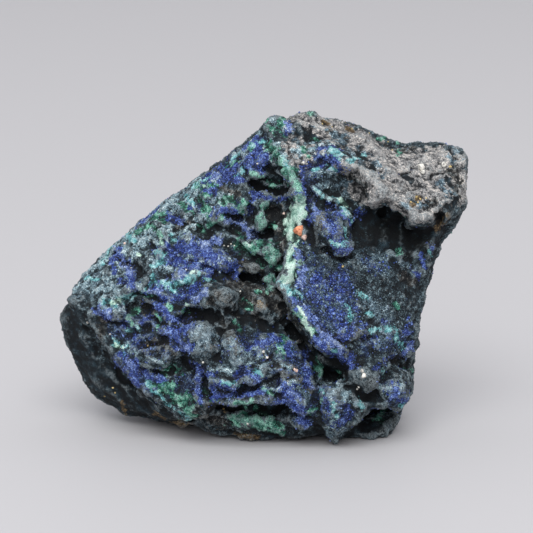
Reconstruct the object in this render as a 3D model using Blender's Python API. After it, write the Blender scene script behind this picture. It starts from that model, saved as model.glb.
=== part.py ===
"""Azurite specimen: a hand-sized piece of copper ore, azurite and malachite grown over a dark matrix.

The specimen grew as one piece, so it is one solid. It is built as such a stone is broken and grown over:
overlapping convex masses with named corners are fused, hollows are cut into them, rounded knots are grown
on, and ridges, dishes and a rough skin are raised on the result. The lowest points are worn flat, so that
it stands on a real face.

Tables are in millimetres; the finished mesh is in metres, +Z up, with the origin at the middle of its base.
X runs to the right along the show face, and Y runs away from whoever looks at that face.
"""

import math

import bmesh
import bpy
import numpy as np
from mathutils import Matrix, Vector, noise
from mathutils.bvhtree import BVHTree

MM = 0.001
NODE = "azurite_specimen"

# Driving dimensions of the finished specimen, in millimetres.
WIDTH = 75.0
DEPTH = 44.0
HEIGHT = 59.0
BASE_CUT = 1.4  # how far above its lowest point the specimen is worn flat

# How finely the skin is worked, in millimetres, and how many triangles it may keep.
FUSE_VOXEL = 0.6
CUTTER_VOXEL = 0.35
FINISH_VOXEL = 0.5
TRIANGLES = 9700
SHOW_SHARE = 0.30  # how strongly the thinning acts on the show face
BACK_SHARE = 0.42  # and on the plainer back
BACK_STARTS = 6.0

# The rough natural skin: wavelengths and heights in millimetres.
SWELL_SIZE = 8.0
SWELL_HEIGHT = 0.8
KNOB_SIZE = 3.8
KNOB_HEIGHT = 1.1
LEDGE_SIZE = 5.0
LEDGE_HEIGHT = 0.7
LEDGE_OFFSET = (3.0, 1.0, 7.0)
LUMP_UNEVEN = 0.22  # of a lump's radius
HOLLOW_UNEVEN = 0.3  # of a hollow's half sizes
HOLLOW_WAVES = 1.7
RELIEF = 1.35  # strokes are carried this much past their stated height, because fusing rounds them

STONE_COLOUR = (0.07, 0.09, 0.15, 1.0)
STONE_ROUGHNESS = 0.85
SHARP_ANGLE = 45.0

# Corners of the broken masses, each the hull of its points: (x, y, z).
MASSES = {
    "matrix": [
        (-38, 3, 19), (-37.5, 3, 22.5), (-34, 4, 27), (-30.5, 4, 30), (-19.5, 6, 40), (-13, 6, 44),
        (-6.5, 6, 49), (-1, 5, 53), (28, 2, 20.5), (27.5, 0, 14), (27.5, 0, 5.5), (25.5, 0, 1),
        (-33.5, 5, 5.5), (-29.5, 5, 2.5), (-24, 3, 1), (-13.5, -2, -1), (-33, 8, 12), (-32, 8, 22),
        (-24, 14, 30), (-12, 18, 39), (2, 15, 49), (26, 12, 20), (25, 12, 10), (22, 12, -1),
        (10, 16, -1), (-9, 15, -1), (-21, 12, 1), (-29, 9, 4), (-1, 19, 27), (-12, 18, 19),
        (14, 17.5, 20), (7, 17, 38), (0, 17, 8), (24, 4, -0.5),
    ],
    "cap_back": [
        (1, 1, 55), (2, 15, 49), (9, 6, 56.5), (14, 13, 51), (24, 8, 50.5), (27, 11, 45), (34, 2, 50),
        (35, 2, 44), (31, 8, 38), (29, 3, 30), (27, 13, 28), (25, 12, 16), (7, 17, 38), (14, 17, 28),
        (8, 0, 34), (26, 0, 30), (27, 0, 20),
    ],
    "back_left": [
        (-32, 8, 8), (-30, 9, 20), (-22, 15, 27), (-11, 20.5, 30), (-6, 22.5, 22), (-8, 22, 10),
        (-16, 18, 4), (-26, 12, 4), (-20, 8, 26), (-5, 14, 12),
    ],
    "back_top": [
        (-14, 13, 38), (0, 17, 47), (11, 18, 48), (16, 19.5, 38), (7, 22.5, 33), (-8, 20.5, 33),
        (2, 10, 51.5), (14, 10, 50), (0, 10, 36),
    ],
    "back_right": [
        (12, 19.5, 30), (24, 15.5, 30), (29.5, 9, 33), (27, 13, 18), (24, 13, 6), (14, 20.5, 6),
        (8, 22.5, 16), (20, 6, 20),
    ],
    "back_heel": [
        (-6, 18.5, 8), (8, 20.5, 10), (20, 15, 3), (14, 16, -1), (-6, 15, -1), (0, 8, 2),
    ],
    "heart": [
        (-12.5, -10, 20), (-11.5, -9, 4.5), (12, -9, 2), (12.5, -13, 10.5), (14.5, -15, 17.5),
        (9.5, -13, 26.5), (8, -11, 37), (14.5, -9, 43.5), (6.5, -6, 49.5), (-0.5, -4, 42.5),
        (-5.5, -8, 32.5), (23.5, -8, 27), (25, -4, 5.5), (28, -4, 41), (-2.5, -14, 8), (6.5, -13, 11.5),
        (-0.5, -10, 18), (-12, 4, 30), (25.5, 8, 21.5), (-1, 8, 4), (12, 8, 44),
    ],
    "wing": [
        (-36, -3, 24), (-30.5, -7, 21.5), (-29.5, -8, 19), (-26.5, -10, 14), (-23, -12, 11.5),
        (-19.5, -13, 8.5), (-15, -13.5, 5), (-13.5, -12.5, 4), (-34, 1, 27.5), (-30, 0, 31),
        (-27, 0, 33.5), (-19, 1, 40.5), (-13.5, 1, 44.5), (-18, -4, 38), (-11.5, -7.5, 38.5),
        (-20.5, -13, 26.5), (-11.5, -16, 28.5), (-5.5, -15.5, 29), (-30, 5, 30), (-19.5, 8, 39.5),
        (-13.5, 8, 43.5), (-34, 5, 26.5), (-5, -14, 32), (-9, -12, 35), (-16.5, -16, 21.5),
        (-9.5, -17, 21.5), (-6.5, -16.5, 19), (-8, -6, 17), (-32, 2, 23), (-25, 2, 7.5),
    ],
    "shoulder": [
        (-13.5, 8, 43.5), (-10, 7, 46.5), (-6, 7, 49), (0, 7, 53), (0, 5, 55), (-13.5, 1, 44.5),
        (-10, 1, 47), (-6, 0, 50), (-0.5, 0, 54), (0, 0, 55.5), (0.5, -7, 50.5), (-3, -8, 47),
        (-7, -6.5, 44), (-11.5, -6, 40.5), (-18, -3.5, 38), (-9, -9.5, 35.5), (-0.5, -8, 42.5),
        (-1, -6, 36), (-11.5, 0, 34.5),
    ],
    "valley": [
        (-6, -7, 43.5), (4.5, -9.5, 44), (5, -9.5, 39), (4, -9, 32.5), (3, -9.5, 27.5), (4.5, -9.5, 22),
        (6.5, -11, 17.5), (1, -13, 20), (-5, -14, 21), (-6.5, -11, 27.5), (-7, -9, 32.5),
        (-7.5, -7, 38.5), (-2.5, 3, 32), (3, 0, 17.5),
    ],
    "upper_wall": [
        (-4.5, -5, 49), (0, 0, 55), (3.5, -7.5, 47.5), (5.5, -9, 43.5), (-3.5, -6.5, 42.5),
        (-0.5, -7.5, 41.5), (5, -9, 41), (-0.5, -3, 51.5), (-0.5, 4, 47), (4.5, 2, 41.5),
    ],
    "crest": [
        (0, 0, 56.5), (1, 2, 57.5), (6.5, 4, 57.5), (9, 4, 58), (12, 4, 56.5), (17, 4, 55.5),
        (6.5, -4, 54.5), (3, -7, 52.5), (4.5, -10, 49), (6, -12, 44), (11.5, -10.5, 44),
        (15, -9.5, 43.5), (15, -8, 49), (6.5, -4, 41), (-0.5, 2, 51), (2, -5, 46.5),
    ],
    "saddle": [
        (13, 6, 55.5), (17, 6, 55), (19.5, 5, 53.5), (24, 4, 52), (14.5, -12, 50), (11.5, -10, 51),
        (8.5, -5, 54), (23, -12, 49.5), (15.5, -9, 42.5), (22, -16, 44), (19, -14, 45.5),
        (17.5, -13, 49.5),
    ],
    "cap": [
        (22, 4.5, 52.5), (24, 4, 52), (28.5, 3, 52.5), (31, 2, 51.5), (34, 0, 52.5), (36, -1, 51.5),
        (37, -3, 49), (36.5, -4, 45.5), (35.5, -5, 41.5), (35, -6, 39.5), (31, -15, 41.5),
        (28, -18, 40), (26, -18, 41), (24, -18.5, 42.5), (21.5, -18, 44.5), (18.5, -13.5, 45),
        (19.5, -12.5, 49), (17, -7, 50.5), (30, -6, 35), (33.5, -3, 36), (21, -8, 38.5), (16, -9, 41.5),
    ],
    "right_flank": [
        (35, -4, 40.5), (33.5, -3, 37), (32.5, -3, 34.5), (30.5, -3, 32.5), (29, -3, 30),
        (28.5, -3, 27), (27.5, -3, 24.5), (27, -2, 20.5), (29.5, -8, 36), (30.5, -10, 40),
        (28.5, -9, 32.5), (27.5, -8, 27), (26.5, -7, 19.5), (24.5, -2, 35), (25.5, 2, 17),
        (29.5, 4, 36.5), (28.5, 5, 26),
    ],
    "collar": [
        (6.5, -11, 44), (15, -12.5, 42.5), (16, -15, 41), (15, -15, 37.5), (12.5, -16, 37),
        (7, -14, 39), (6, -12, 40.5), (6.5, -6, 36), (15.5, -6, 36),
    ],
    "plate": [
        (6, -13, 41), (5, -15, 35), (4.5, -16, 32.5), (3, -18, 28.5), (4, -18.5, 27), (6.5, -19.5, 23),
        (9, -20, 19.5), (10, -20.5, 18), (12.5, -20.5, 15.5), (15.5, -19.5, 13.5), (27, -10, 15),
        (27, -9, 20), (28, -8, 25.5), (29, -7, 30), (27, -10, 32.5), (21.5, -13, 35), (15, -14.5, 37.5),
        (10, -15.5, 37.5), (6.5, -6, 37), (25, 0, 32.5), (27, 0, 12), (13, -8, 14), (7, -12, 20),
        (5.5, -8, 29),
    ],
    "slab": [
        (-13, -15, 21), (-8.5, -17.5, 21.5), (-3.5, -16.5, 19), (-0.5, -16.5, 18), (6, -14, 19),
        (9, -16, 15.5), (10, -18, 12), (9, -18, 9), (6.5, -19, 8.5), (4.5, -20, 10), (-0.5, -20.5, 10),
        (-6, -20, 9.5), (-10, -18.5, 9), (-14.5, -15, 5.5), (-19, -13, 8.5), (-11.5, -8, 5.5),
        (8.5, -8, 5.5), (-2.5, -8, 19.5),
    ],
    "middle_lobe": [
        (3, -18.5, 9.5), (6.5, -19, 10.5), (9, -17.5, 9.5), (10, -17, 7), (8.5, -16.5, 4),
        (6.5, -16, 2.5), (4, -16.5, 4.5), (2.5, -17.5, 7.5), (6.5, -6, 2),
    ],
    "nose": [
        (9.5, -17, 9), (10.5, -18.5, 11.5), (13, -19.5, 13), (15.5, -21, 11.5), (19, -19, 8.5),
        (18, -18, 6), (12.5, -13.5, -1), (13, -17, 2), (10, -16, 4), (11, -18.5, 7.5), (13, -7, -2),
        (19, -8, 4), (14, -8, 8.5),
    ],
    "right_lobe": [
        (20.5, -16.5, 11.5), (20, -17, 9), (21.5, -16, 6.5), (24.5, -13, 6), (26.5, -9, 6.5),
        (27, -8, 9.5), (26.5, -9, 12.5), (23.5, -14.5, 13.5), (22, -16.5, 12.5), (25, 0, 4),
        (26, 0, 10),
    ],
    "chin": [
        (15, -19, 17), (21.5, -15.5, 16), (21.5, -16, 13), (19, -18, 11), (16.5, -19.5, 11.5),
        (14.5, -20, 14), (17.5, -8, 12),
    ],
    "foot": [
        (20.5, -10, 0), (22.5, -10.5, -0.5), (24, -8, 1), (25, -6, 2), (24.5, -5, 3.5), (20, -10, 4),
        (22.5, 0, -0.5), (24.5, 2, 1), (18.5, -6, 1), (14, -9, -0.5), (14.5, -12, 4), (15, 0, -1.5),
    ],
    "heel": [
        (-11.5, -7, 1), (-9, -9, 0.5), (-4.5, -11, 0), (1, -11.5, -0.5), (5.5, -12, 0.5),
        (9.5, -12.5, 1.5), (12, -12, 2), (8.5, -14, 5.5), (3.5, -15.5, 5.5), (-1.5, -15.5, 5),
        (-5.5, -13, 3), (-12, -10, 4), (-10, 0, -0.5), (10.5, 0, -1), (-15.5, -8, 2.5),
    ],
    "left_flank": [
        (-36.5, 1, 23.5), (-38, 1, 21), (-38, 1, 19), (-37, 1, 16.5), (-30.5, -6, 21),
        (-26.5, -9, 13.5), (-19.5, -12, 8), (-14, -12, 4), (-35.5, 2, 12), (-34.5, 3, 8.5),
        (-33.5, 3, 5.5), (-31.5, 3, 3.5), (-28, 2, 2.5), (-24, 1, 0.5), (-22, 1, 0.5), (-19.5, -1, 0),
        (-16.5, -3, -0.5), (-13.5, -5, -0.5), (-27, 8, 14),
    ],
}


# Rounded knots grown on the surface: (x, y, z, radius).
LUMPS = {
    "malachite nodules": [
        (-0.5, -9.8, 39.8, 1.3), (-0.3, -8.9, 42.4, 1.2), (-4.3, -8.5, 42.3, 1.3),
        (-3.4, -9.7, 36.5, 1.3), (-1.3, -10.5, 36.1, 1.4), (0.3, -11.3, 35, 1.4),
        (1.4, -11.7, 32.9, 1.5), (2.1, -11, 35.5, 1.3), (1.3, -12.1, 29.5, 1.5), (1.4, -12, 27.5, 1.2),
        (-2.2, -10.6, 34.7, 1.2),
    ],
    "brown knots": [
        (-7.1, -16, 26.6, 3), (-5.1, -13.2, 24.5, 2.3), (-8.4, -16.1, 27.7, 1.8),
        (-4.1, -11.8, 31.5, 1.6), (-2, -12.1, 32, 1.5), (-3, -12.9, 27.9, 2.2),
        (-4.4, -12.2, 28.5, 1.5), (-1.2, -13.4, 25.5, 2.1), (0.6, -12.9, 25.8, 1.5),
        (2.4, -12.3, 26.2, 1.6), (-0.2, -13, 23.3, 1.8), (3.3, -12.5, 23.8, 1.7),
        (-3.2, -13.7, 22.2, 1.7), (-6.7, -16.4, 23.4, 2), (-10, -16.1, 27.1, 1.7),
    ],
    "mounds": [
        (-10.3, -15.8, 19.2, 3.8), (-5.9, -17.9, 18.2, 2.7), (-8.5, -18.1, 15.2, 2),
        (-19.4, -13.4, 14.9, 2.3), (-16.2, -15.2, 17.7, 1.8), (-0.5, -16.3, 18.6, 2.2),
        (4.8, -17.4, 14, 2.4),
    ],
    "knob": [
        (10.3, -14.4, 39, 2.6), (12.8, -15.8, 38.7, 2.4), (14.7, -16, 36.9, 2), (14.7, -16.2, 36, 1.5),
    ],
    "crest nodules": [
        (1, -2.2, 55.1, 1.7), (3, -0.3, 56.5, 1.5), (1.4, 1.1, 57.1, 1.5), (-1.7, -2.6, 52.2, 1.5),
        (8.6, 2.8, 57.1, 1.6),
    ],
    "recess lump": [
        (23.9, -7.4, 34.2, 1.7),
    ],
    "chin": [
        (17.8, -17.7, 13.3, 2.8), (16.4, -19.4, 11.9, 1.7), (19.9, -17.1, 12, 1.7),
    ],
    "lower lobes": [
        (13.6, -19.6, 11, 2), (12.3, -18.4, 8.6, 2.2), (21.9, -14.4, 10.3, 3.2),
        (23.7, -12.6, 6.9, 2.2), (21.3, -15.9, 8.3, 1.8), (6.7, -16.3, 4.3, 1.8), (5.7, -18, 9.1, 2.4),
    ],
    "plate bumps": [
        (16.2, -16.8, 20.8, 2), (18.9, -15.4, 18.6, 2), (21.3, -13.9, 19.6, 1.6),
        (13.2, -18.4, 20, 1.6),
    ],
    "cap bumps": [
        (33.6, -2.4, 50.3, 2.6), (28.4, -5.2, 49.2, 2.6), (30.7, -11.2, 43.4, 2.4),
        (24, -14, 44.5, 2.4), (26.1, -17, 41.4, 1.8), (19, -8, 50.1, 2.2), (6.4, -1.2, 54.3, 2.6),
        (14.8, -9.2, 45.9, 2), (11.1, -8.8, 47.5, 1.8), (20, -14.6, 44.2, 1.8), (29, -7.9, 32.3, 1.8),
        (26.3, -9.3, 30.1, 1.8),
    ],
    "wing bumps": [
        (-26.2, -1.2, 32.1, 2), (-23.1, -1.6, 34.4, 2), (-28.5, -2.8, 29.1, 2),
        (-18.3, -3.4, 36.5, 2.2), (-14.3, -10, 32, 2.2), (-20.1, -8.3, 30.4, 2), (-25.5, -9.1, 23.2, 2),
        (-18.3, -13.1, 26.2, 2), (-14, -7.3, 36.1, 1.8), (-7.9, -2.8, 45.7, 1.9),
        (-5.5, -2.1, 48.5, 1.9), (-2.2, -3.1, 50.3, 2), (-10.3, -3.6, 43.1, 1.9),
        (-7.4, -7.6, 41.1, 1.8), (-30.2, -4.4, 25.7, 2), (-22, -12, 19.7, 1.8),
        (-17.5, -14.8, 22.7, 1.7), (-14, -15.5, 21.5, 2),
    ],
    "back knots": [
        (-14, 17, 33, 2.4), (-17.5, 15.5, 31, 1.8), (9, 18, 12, 2.6), (13, 18, 14.5, 2),
        (5.5, 19.5, 14, 1.8), (22, 14, 36, 2.2), (18.5, 16, 33, 1.8), (-24, 11.5, 14, 2.2),
        (-1, 18, 39, 2.2),
    ],
}

# Hollows cut into it: (x, y, z, half sizes along x, y and z, roll about y in degrees).
HOLLOWS = {
    "slot": [
        (0.3, -6.9, 45.4, 4.4, 5, 1.3, 8), (3.3, -7.7, 44.9, 2.2, 4, 1.1, 10),
    ],
    "slot roof": [
        (1.4, -6.5, 48.1, 3.2, 2.2, 1.5, 15),
    ],
    "blue shelf pocket": [
        (-7, -14, 30.2, 1.9, 3, 1.2, -10), (-5, -10.9, 28.9, 1.2, 3, 0.9, 0),
    ],
    "inner pocket": [
        (-2.4, -10.6, 29.7, 2.4, 4, 0.9, 12), (-0.4, -9.1, 37.3, 2.2, 3, 0.9, 5),
        (-0.4, -8.9, 38.6, 1.2, 2, 1.2, 0),
    ],
    "rim gorge": [
        (4.6, -12.2, 20.2, 1.6, 4.5, 1.6, 0), (6.2, -13.1, 18.8, 1.6, 4.5, 1.6, 0),
        (8.2, -13.5, 17.1, 1.7, 4.5, 1.5, 0), (10.1, -13.7, 15.3, 2, 4, 1.5, 0),
        (12.7, -13.1, 13.8, 2.4, 4, 1.6, 0), (3.4, -12.2, 22.1, 1.2, 3.5, 1.6, 0),
        (14.5, -11.2, 12.2, 1.8, 3, 1.4, 0),
    ],
    "overhang": [
        (22.4, -6.1, 37.7, 5.8, 7.5, 4, 8), (18.8, -7.1, 37.7, 3.2, 6, 3.2, -20),
        (21.6, -15.9, 42.4, 2.6, 5.5, 2.8, 0), (26.6, -4.8, 35.4, 3.6, 5, 2.2, 14),
    ],
    "green recess": [
        (12.3, -11.9, 11.8, 2.2, 3.5, 1.4, -30),
    ],
    "lobe groove": [
        (19.4, -6.5, 6.7, 1.5, 4, 2.2, -20), (21.7, -15.3, 12.4, 1.9, 3.5, 1.2, -25),
        (20.7, -6.8, 8.7, 1.2, 3, 1.2, 0),
    ],
    "ledge shade": [
        (-1.1, -15.7, 7.6, 8, 4, 1.2, 3), (-7, -15.5, 7, 3.5, 3, 1, 0),
        (4.9, -16.5, 6.6, 1.6, 3, 1.2, 0),
    ],
    "foot shade": [
        (19.5, -9.1, 2.7, 3.6, 4, 1.7, -20), (22.9, -6, 3.4, 2.2, 3.5, 1.1, -20),
    ],
    "top slits": [
        (10.9, -1.8, 54.3, 1.9, 1.4, 0.6, 12), (12.8, -1.8, 53.9, 1.3, 1.4, 0.6, 12),
        (4.2, -5.4, 53.4, 0.7, 1.6, 0.9, 0), (25, -11.1, 48, 1.1, 1.2, 0.7, -10),
        (12.8, 1.3, 55.2, 1, 1, 0.5, 10), (7.8, -5.2, 53, 1.8, 1.4, 0.8, 0),
    ],
    "wing pockets": [
        (-22.6, -11.4, 24.2, 2.4, 2, 1.4, -15), (-26.3, -8.8, 25.4, 2.4, 1.5, 0.8, -20),
        (-13, -15.5, 23.7, 1.8, 2.4, 0.9, -10), (-18.6, -14.1, 23.3, 1.2, 1.6, 0.9, 0),
        (-17.9, -6.8, 34.7, 1.4, 1.5, 0.8, -20), (-11.5, -7.9, 37.5, 2.2, 1.6, 0.9, 15),
        (-20.6, -6.7, 32.7, 1.2, 1.2, 0.7, 0), (-13.2, -15.2, 14.4, 1.8, 1.8, 1, 30),
        (-10.2, -17.5, 11.4, 1, 1.4, 1.6, 0), (-28.1, -2, 30.9, 1.6, 1.2, 0.9, -30),
        (-21.9, -6.5, 31.9, 1.2, 1.2, 0.8, 0), (1.9, -9.1, 41.6, 1.8, 1.6, 1, 0),
        (-5.1, -8.4, 39.1, 2, 1.6, 1, 20), (-14.6, -13.3, 29.5, 1.6, 1.2, 0.6, -10),
        (-21.4, -12.8, 18, 1.8, 1.4, 0.8, 0), (-24.1, -11, 20.3, 1.4, 1.2, 0.7, 20),
        (-25.8, -4.8, 30.4, 1, 1.2, 1, 0),
    ],
    "cap hollows": [
        (16.6, -12.2, 49.7, 2.4, 1.8, 1.2, 30), (14.4, -8.9, 42.6, 2, 1.5, 0.7, 25),
        (9.6, -9.6, 47.1, 2.4, 1.4, 0.5, 10), (7.3, -8.4, 49.9, 1.6, 1.4, 0.7, -20),
        (32.5, -6.2, 37.4, 1.6, 2, 2, 0), (26.6, -2.6, 51.7, 2, 1.2, 0.7, 0),
        (34.4, -5.1, 48.4, 1.4, 1, 0.8, 20), (13.5, -7.2, 52.4, 1.6, 1.2, 0.6, 0),
    ],
    "base hollows": [
        (-18.8, -11, 7, 3, 1.8, 1.2, 20), (-26.3, -6.5, 9.9, 3, 1.2, 1.4, 20),
        (-6.2, -11.1, 1.4, 3, 1.5, 0.8, 0), (1.9, -12.5, 1.4, 2, 1.4, 0.7, 0),
    ],
    "back pits": [
        (-8, 22, 30.5, 4, 2.2, 1.2, 12), (12, 21.5, 30, 3.4, 2.2, 1.3, -20),
        (-2, 21, 9.5, 3.6, 2.4, 1.3, 8), (6, 18, 48, 3, 2, 1.2, 15), (25, 13.5, 24, 1.6, 2, 3, 10),
        (-28, 11, 23, 2.4, 1.8, 1.2, -25),
    ],
}

# Strokes on the show face: (height, half width, [(x, z) of each point they pass through]).
RIDGES = {
    "plate rim": (1.0, 1.5, [
        (1.4, 53.6), (2.5, 50.7), (3.7, 48.1), (5.1, 46.7), (6, 45), (6.2, 42.2), (5.5, 39.7),
        (5.3, 37.4), (4.7, 34.5), (3.9, 30.5), (3.5, 29.5), (4.4, 27.5), (6, 25), (7.7, 22.7),
        (9.1, 20.6), (11.2, 18.6), (14.1, 16.7),
    ]),
    "slot sill": (0.9, 1.0, [
        (-2.9, 42.8), (-1.5, 44.5), (0.7, 43.8), (3.2, 44), (5.1, 45.2),
    ]),
    "slot curtain": (0.7, 0.9, [
        (-1.8, 43.8), (-2.6, 42.1), (-3.1, 40.5),
    ]),
    "slot roof": (0.8, 0.9, [
        (-2.7, 47.7), (-1.1, 46.7), (1.4, 45.7), (4.2, 45.6),
    ]),
    "turquoise crest": (0.9, 1.3, [
        (-28.9, 24.5), (-26.3, 25.4), (-24.1, 26.8), (-21.2, 28.8), (-18.6, 28.9), (-16.4, 29.2),
        (-14.3, 30.4), (-12.1, 31.4), (-10.7, 30.9),
    ]),
    "blue shelf": (1.3, 1.8, [
        (-12.2, 33.9), (-10.2, 33.2), (-8, 32.1), (-6.3, 31.3), (-5.5, 30.5),
    ]),
    "turquoise vein": (0.6, 0.9, [
        (-18.3, 36.4), (-18.8, 34.1), (-18, 33), (-19.3, 31.6), (-20.1, 30.1), (-20.6, 28.7),
    ]),
    "wing edge": (0.9, 1.4, [
        (-35, 24.1), (-33.1, 23.7), (-30.7, 21.7), (-29.5, 19.4), (-27.3, 15.8), (-25.3, 13.9),
        (-22.9, 12), (-21.1, 10.5), (-19.1, 8.1), (-16.6, 6.1), (-14.5, 4.5),
    ]),
    "wing edge inner": (0.5, 0.9, [
        (-26.4, 17.3), (-23.2, 14.6), (-20.5, 13.1), (-17.8, 10.8), (-15.4, 8.7),
    ]),
    "slab ledge": (1.0, 1.4, [
        (-11.8, 14), (-9.6, 13.2), (-7.1, 12.6), (-4.5, 12.5), (-2.2, 13.6), (0, 14.7), (2.8, 16.2),
        (5.7, 18), (6.9, 19.1),
    ]),
    "slab lip": (0.8, 1.1, [
        (-13.7, 5.1), (-11.4, 8.3), (-8.2, 9), (-4.3, 9.2), (-0.4, 9.5), (2.1, 10.9),
    ]),
    "upper fold": (0.6, 1.1, [
        (-5, 16.7), (-2.5, 18.2), (0, 19.2), (3, 20.1), (5, 20.6),
    ]),
    "pillars": (0.7, 0.7, [
        (-11.4, 13.7), (-11.1, 11.6), (-11.3, 9.4),
    ]),
    "pillar right": (0.7, 0.7, [
        (-8.9, 12.9), (-8.6, 11.2), (-8.4, 9.4),
    ]),
    "cap lip": (0.9, 1.6, [
        (12.7, 50.6), (15.2, 50.3), (17.3, 49.4), (19.4, 47), (21.4, 45), (23.4, 43), (25.9, 41.6),
        (28.4, 40.4), (31, 41.5), (33.5, 42.2), (35.2, 42.6),
    ]),
    "cap fold": (0.6, 1.3, [
        (6.5, 56.9), (9.7, 55.3), (13, 54.4), (16.6, 53.4), (19, 52.3), (21.4, 50.9), (22.6, 49.3),
    ]),
    "crest fold": (0.6, 1.1, [
        (5, 55.5), (7.5, 54.5), (10, 53.7), (12.3, 53.3),
    ]),
    "collar vein": (0.7, 0.9, [
        (8.5, 46.3), (9.9, 44.7), (12.1, 43.2), (14, 42.4), (15.5, 40.8), (16.4, 37.9),
    ]),
    "upper vein": (0.6, 0.9, [
        (6.9, 51.9), (8.5, 51), (10.8, 52.5), (13.1, 51.4), (15.6, 50.9), (17.8, 51.7),
    ]),
    "wall ledge": (0.6, 0.8, [
        (8.1, 48.6), (10.8, 49), (13.1, 48.8), (15.5, 47.4), (18, 45.5),
    ]),
    "chin edge": (0.5, 1.2, [
        (15.5, 13.5), (15, 15.4), (15.5, 17.1), (17.7, 18), (20.3, 16.5), (22.5, 15),
    ]),
    "nose spine": (0.6, 1.0, [
        (19.7, 5.2), (17, 7.1), (15.5, 4.7),
    ]),
    "nose brow": (0.6, 1.0, [
        (9.9, 9), (12, 10.9), (14.3, 10.5), (16.6, 9.2), (19.3, 5.2),
    ]),
    "heel ledge": (0.7, 1.0, [
        (-5.8, 4.5), (-3.3, 4.5), (-0.4, 5.3), (2.5, 4.6), (4.6, 2.8),
    ]),
    "under fold": (0.5, 1.4, [
        (-30.8, 16.1), (-27.1, 11.5), (-23.5, 8), (-19.3, 5.3),
    ]),
    "under fold low": (0.5, 1.4, [
        (-32.5, 9.8), (-29.3, 7.2), (-25, 4.5), (-20.9, 3),
    ]),
    "plate shelf": (0.4, 1.0, [
        (19.7, 21.4), (21.7, 21.6), (23.9, 20.6), (25.8, 19),
    ]),
    "brow over mounds": (0.5, 1.2, [
        (-16.8, 21.4), (-13.9, 20.4), (-11.4, 21.6), (-8.5, 21.4), (-6.4, 20.1),
    ]),
}

# Dishes pressed into the show face: (depth, half width, [(x, z) of each point they pass through]).
PRESSES = {
    "recess wall": (2.0, 4.0, [
        (15.2, 46.6), (17.4, 43.6),
    ]),
    "top saddle": (0.8, 3.0, [
        (21.4, 52.5), (24.3, 52.1),
    ]),
    "plate hollow": (0.5, 4.0, [
        (11.6, 27.3), (17.9, 28.7),
    ]),
    "valley": (0.8, 3.5, [
        (-4.3, 34.8), (-2.5, 26.2),
    ]),
    "under cup": (0.8, 5.0, [
        (-30, 13.2), (-25.4, 7.9),
    ]),
    "cap dish": (0.6, 3.5, [
        (23.3, 50), (29.5, 47.4),
    ]),
    "mound gap": (0.8, 1.6, [
        (-8, 18), (-7.5, 19.7), (-8.2, 21.7),
    ]),
    "ledge step": (0.7, 2.0, [
        (-6.1, 10.9), (-1.6, 11.5), (1.9, 13.1),
    ]),
    "chin gap": (0.9, 1.8, [
        (13.6, 13.2), (14.5, 10.3),
    ]),
    "shelf step": (0.6, 1.6, [
        (4.6, 17.4), (6.4, 15.3), (8.5, 14.1),
    ]),
}

# How rough the skin is around some places, (x, y, z, radius, roughness), and everywhere else.
ROUGHNESS = {
    "drusy plate": (17, -16, 26, 11, 0.25),
    "plate foot": (19, -18, 17, 6, 0.4),
    "cap": (27, -8, 47, 11, 0.5),
    "vuggy hollow": (-2, -9, 31, 9, 1.1),
    "wing": (-16, -12, 27, 14, 1.0),
    "upper wing": (-10, -5, 42, 10, 1.0),
    "smooth flank": (-28, -4, 10, 11, 0.35),
}
PLAIN_ROUGHNESS = 0.75
PLAIN_WEIGHT = 0.15


def clear_scene():
    for obj in list(bpy.data.objects):
        bpy.data.objects.remove(obj)


def new_object(name, bm):
    mesh = bpy.data.meshes.new(name)
    bm.to_mesh(mesh)
    bm.free()
    obj = bpy.data.objects.new(name, mesh)
    bpy.context.scene.collection.objects.link(obj)
    return obj


def put_back(bm, obj):
    bm.to_mesh(obj.data)
    bm.free()
    obj.data.update()


def apply_modifiers(obj):
    """Makes the evaluated mesh the object's own."""
    graph = bpy.context.evaluated_depsgraph_get()
    mesh = bpy.data.meshes.new_from_object(obj.evaluated_get(graph))
    obj.modifiers.clear()
    obj.data = mesh


def fuse(obj, voxel):
    """Grows one closed skin over everything in the object."""
    remesh = obj.modifiers.new("fuse", "REMESH")
    remesh.mode = "VOXEL"
    remesh.voxel_size = voxel * MM
    apply_modifiers(obj)


def keep_outer_skin(obj):
    """Fills hollows sealed inside and drops loose crumbs: only the largest shell stays."""
    bm = bmesh.new()
    bm.from_mesh(obj.data)
    waiting = set(bm.verts)
    shells = []
    while waiting:
        shell = {waiting.pop()}
        front = list(shell)
        while front:
            vert = front.pop()
            for edge in vert.link_edges:
                other = edge.other_vert(vert)
                if other not in shell:
                    shell.add(other)
                    front.append(other)
        waiting -= shell
        shells.append(shell)
    largest = max(shells, key=len)
    bmesh.ops.delete(bm, geom=[vert for vert in bm.verts if vert not in largest], context="VERTS")
    put_back(bm, obj)


def build_masses():
    """The broken masses as convex hulls, still separate shells in one object."""
    bm = bmesh.new()
    for corners in MASSES.values():
        verts = [bm.verts.new(Vector(corner) * MM) for corner in corners]
        hull = bmesh.ops.convex_hull(bm, input=verts)
        bmesh.ops.delete(bm, geom=hull["geom_interior"], context="VERTS")
    return new_object(NODE, bm)


def add_lumps(obj):
    """Adds the knots to the object's mesh as uneven balls, which the next fuse joins to it."""
    bm = bmesh.new()
    bm.from_mesh(obj.data)
    for lumps in LUMPS.values():
        for x, y, z, radius in lumps:
            place = Matrix.Translation(Vector((x, y, z)) * MM)
            ball = bmesh.ops.create_icosphere(bm, subdivisions=3, radius=radius * MM, matrix=place)
            for vert in ball["verts"]:
                vert.co += noise.noise_vector(vert.co / (radius * MM)) * LUMP_UNEVEN * radius * MM
    put_back(bm, obj)


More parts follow.
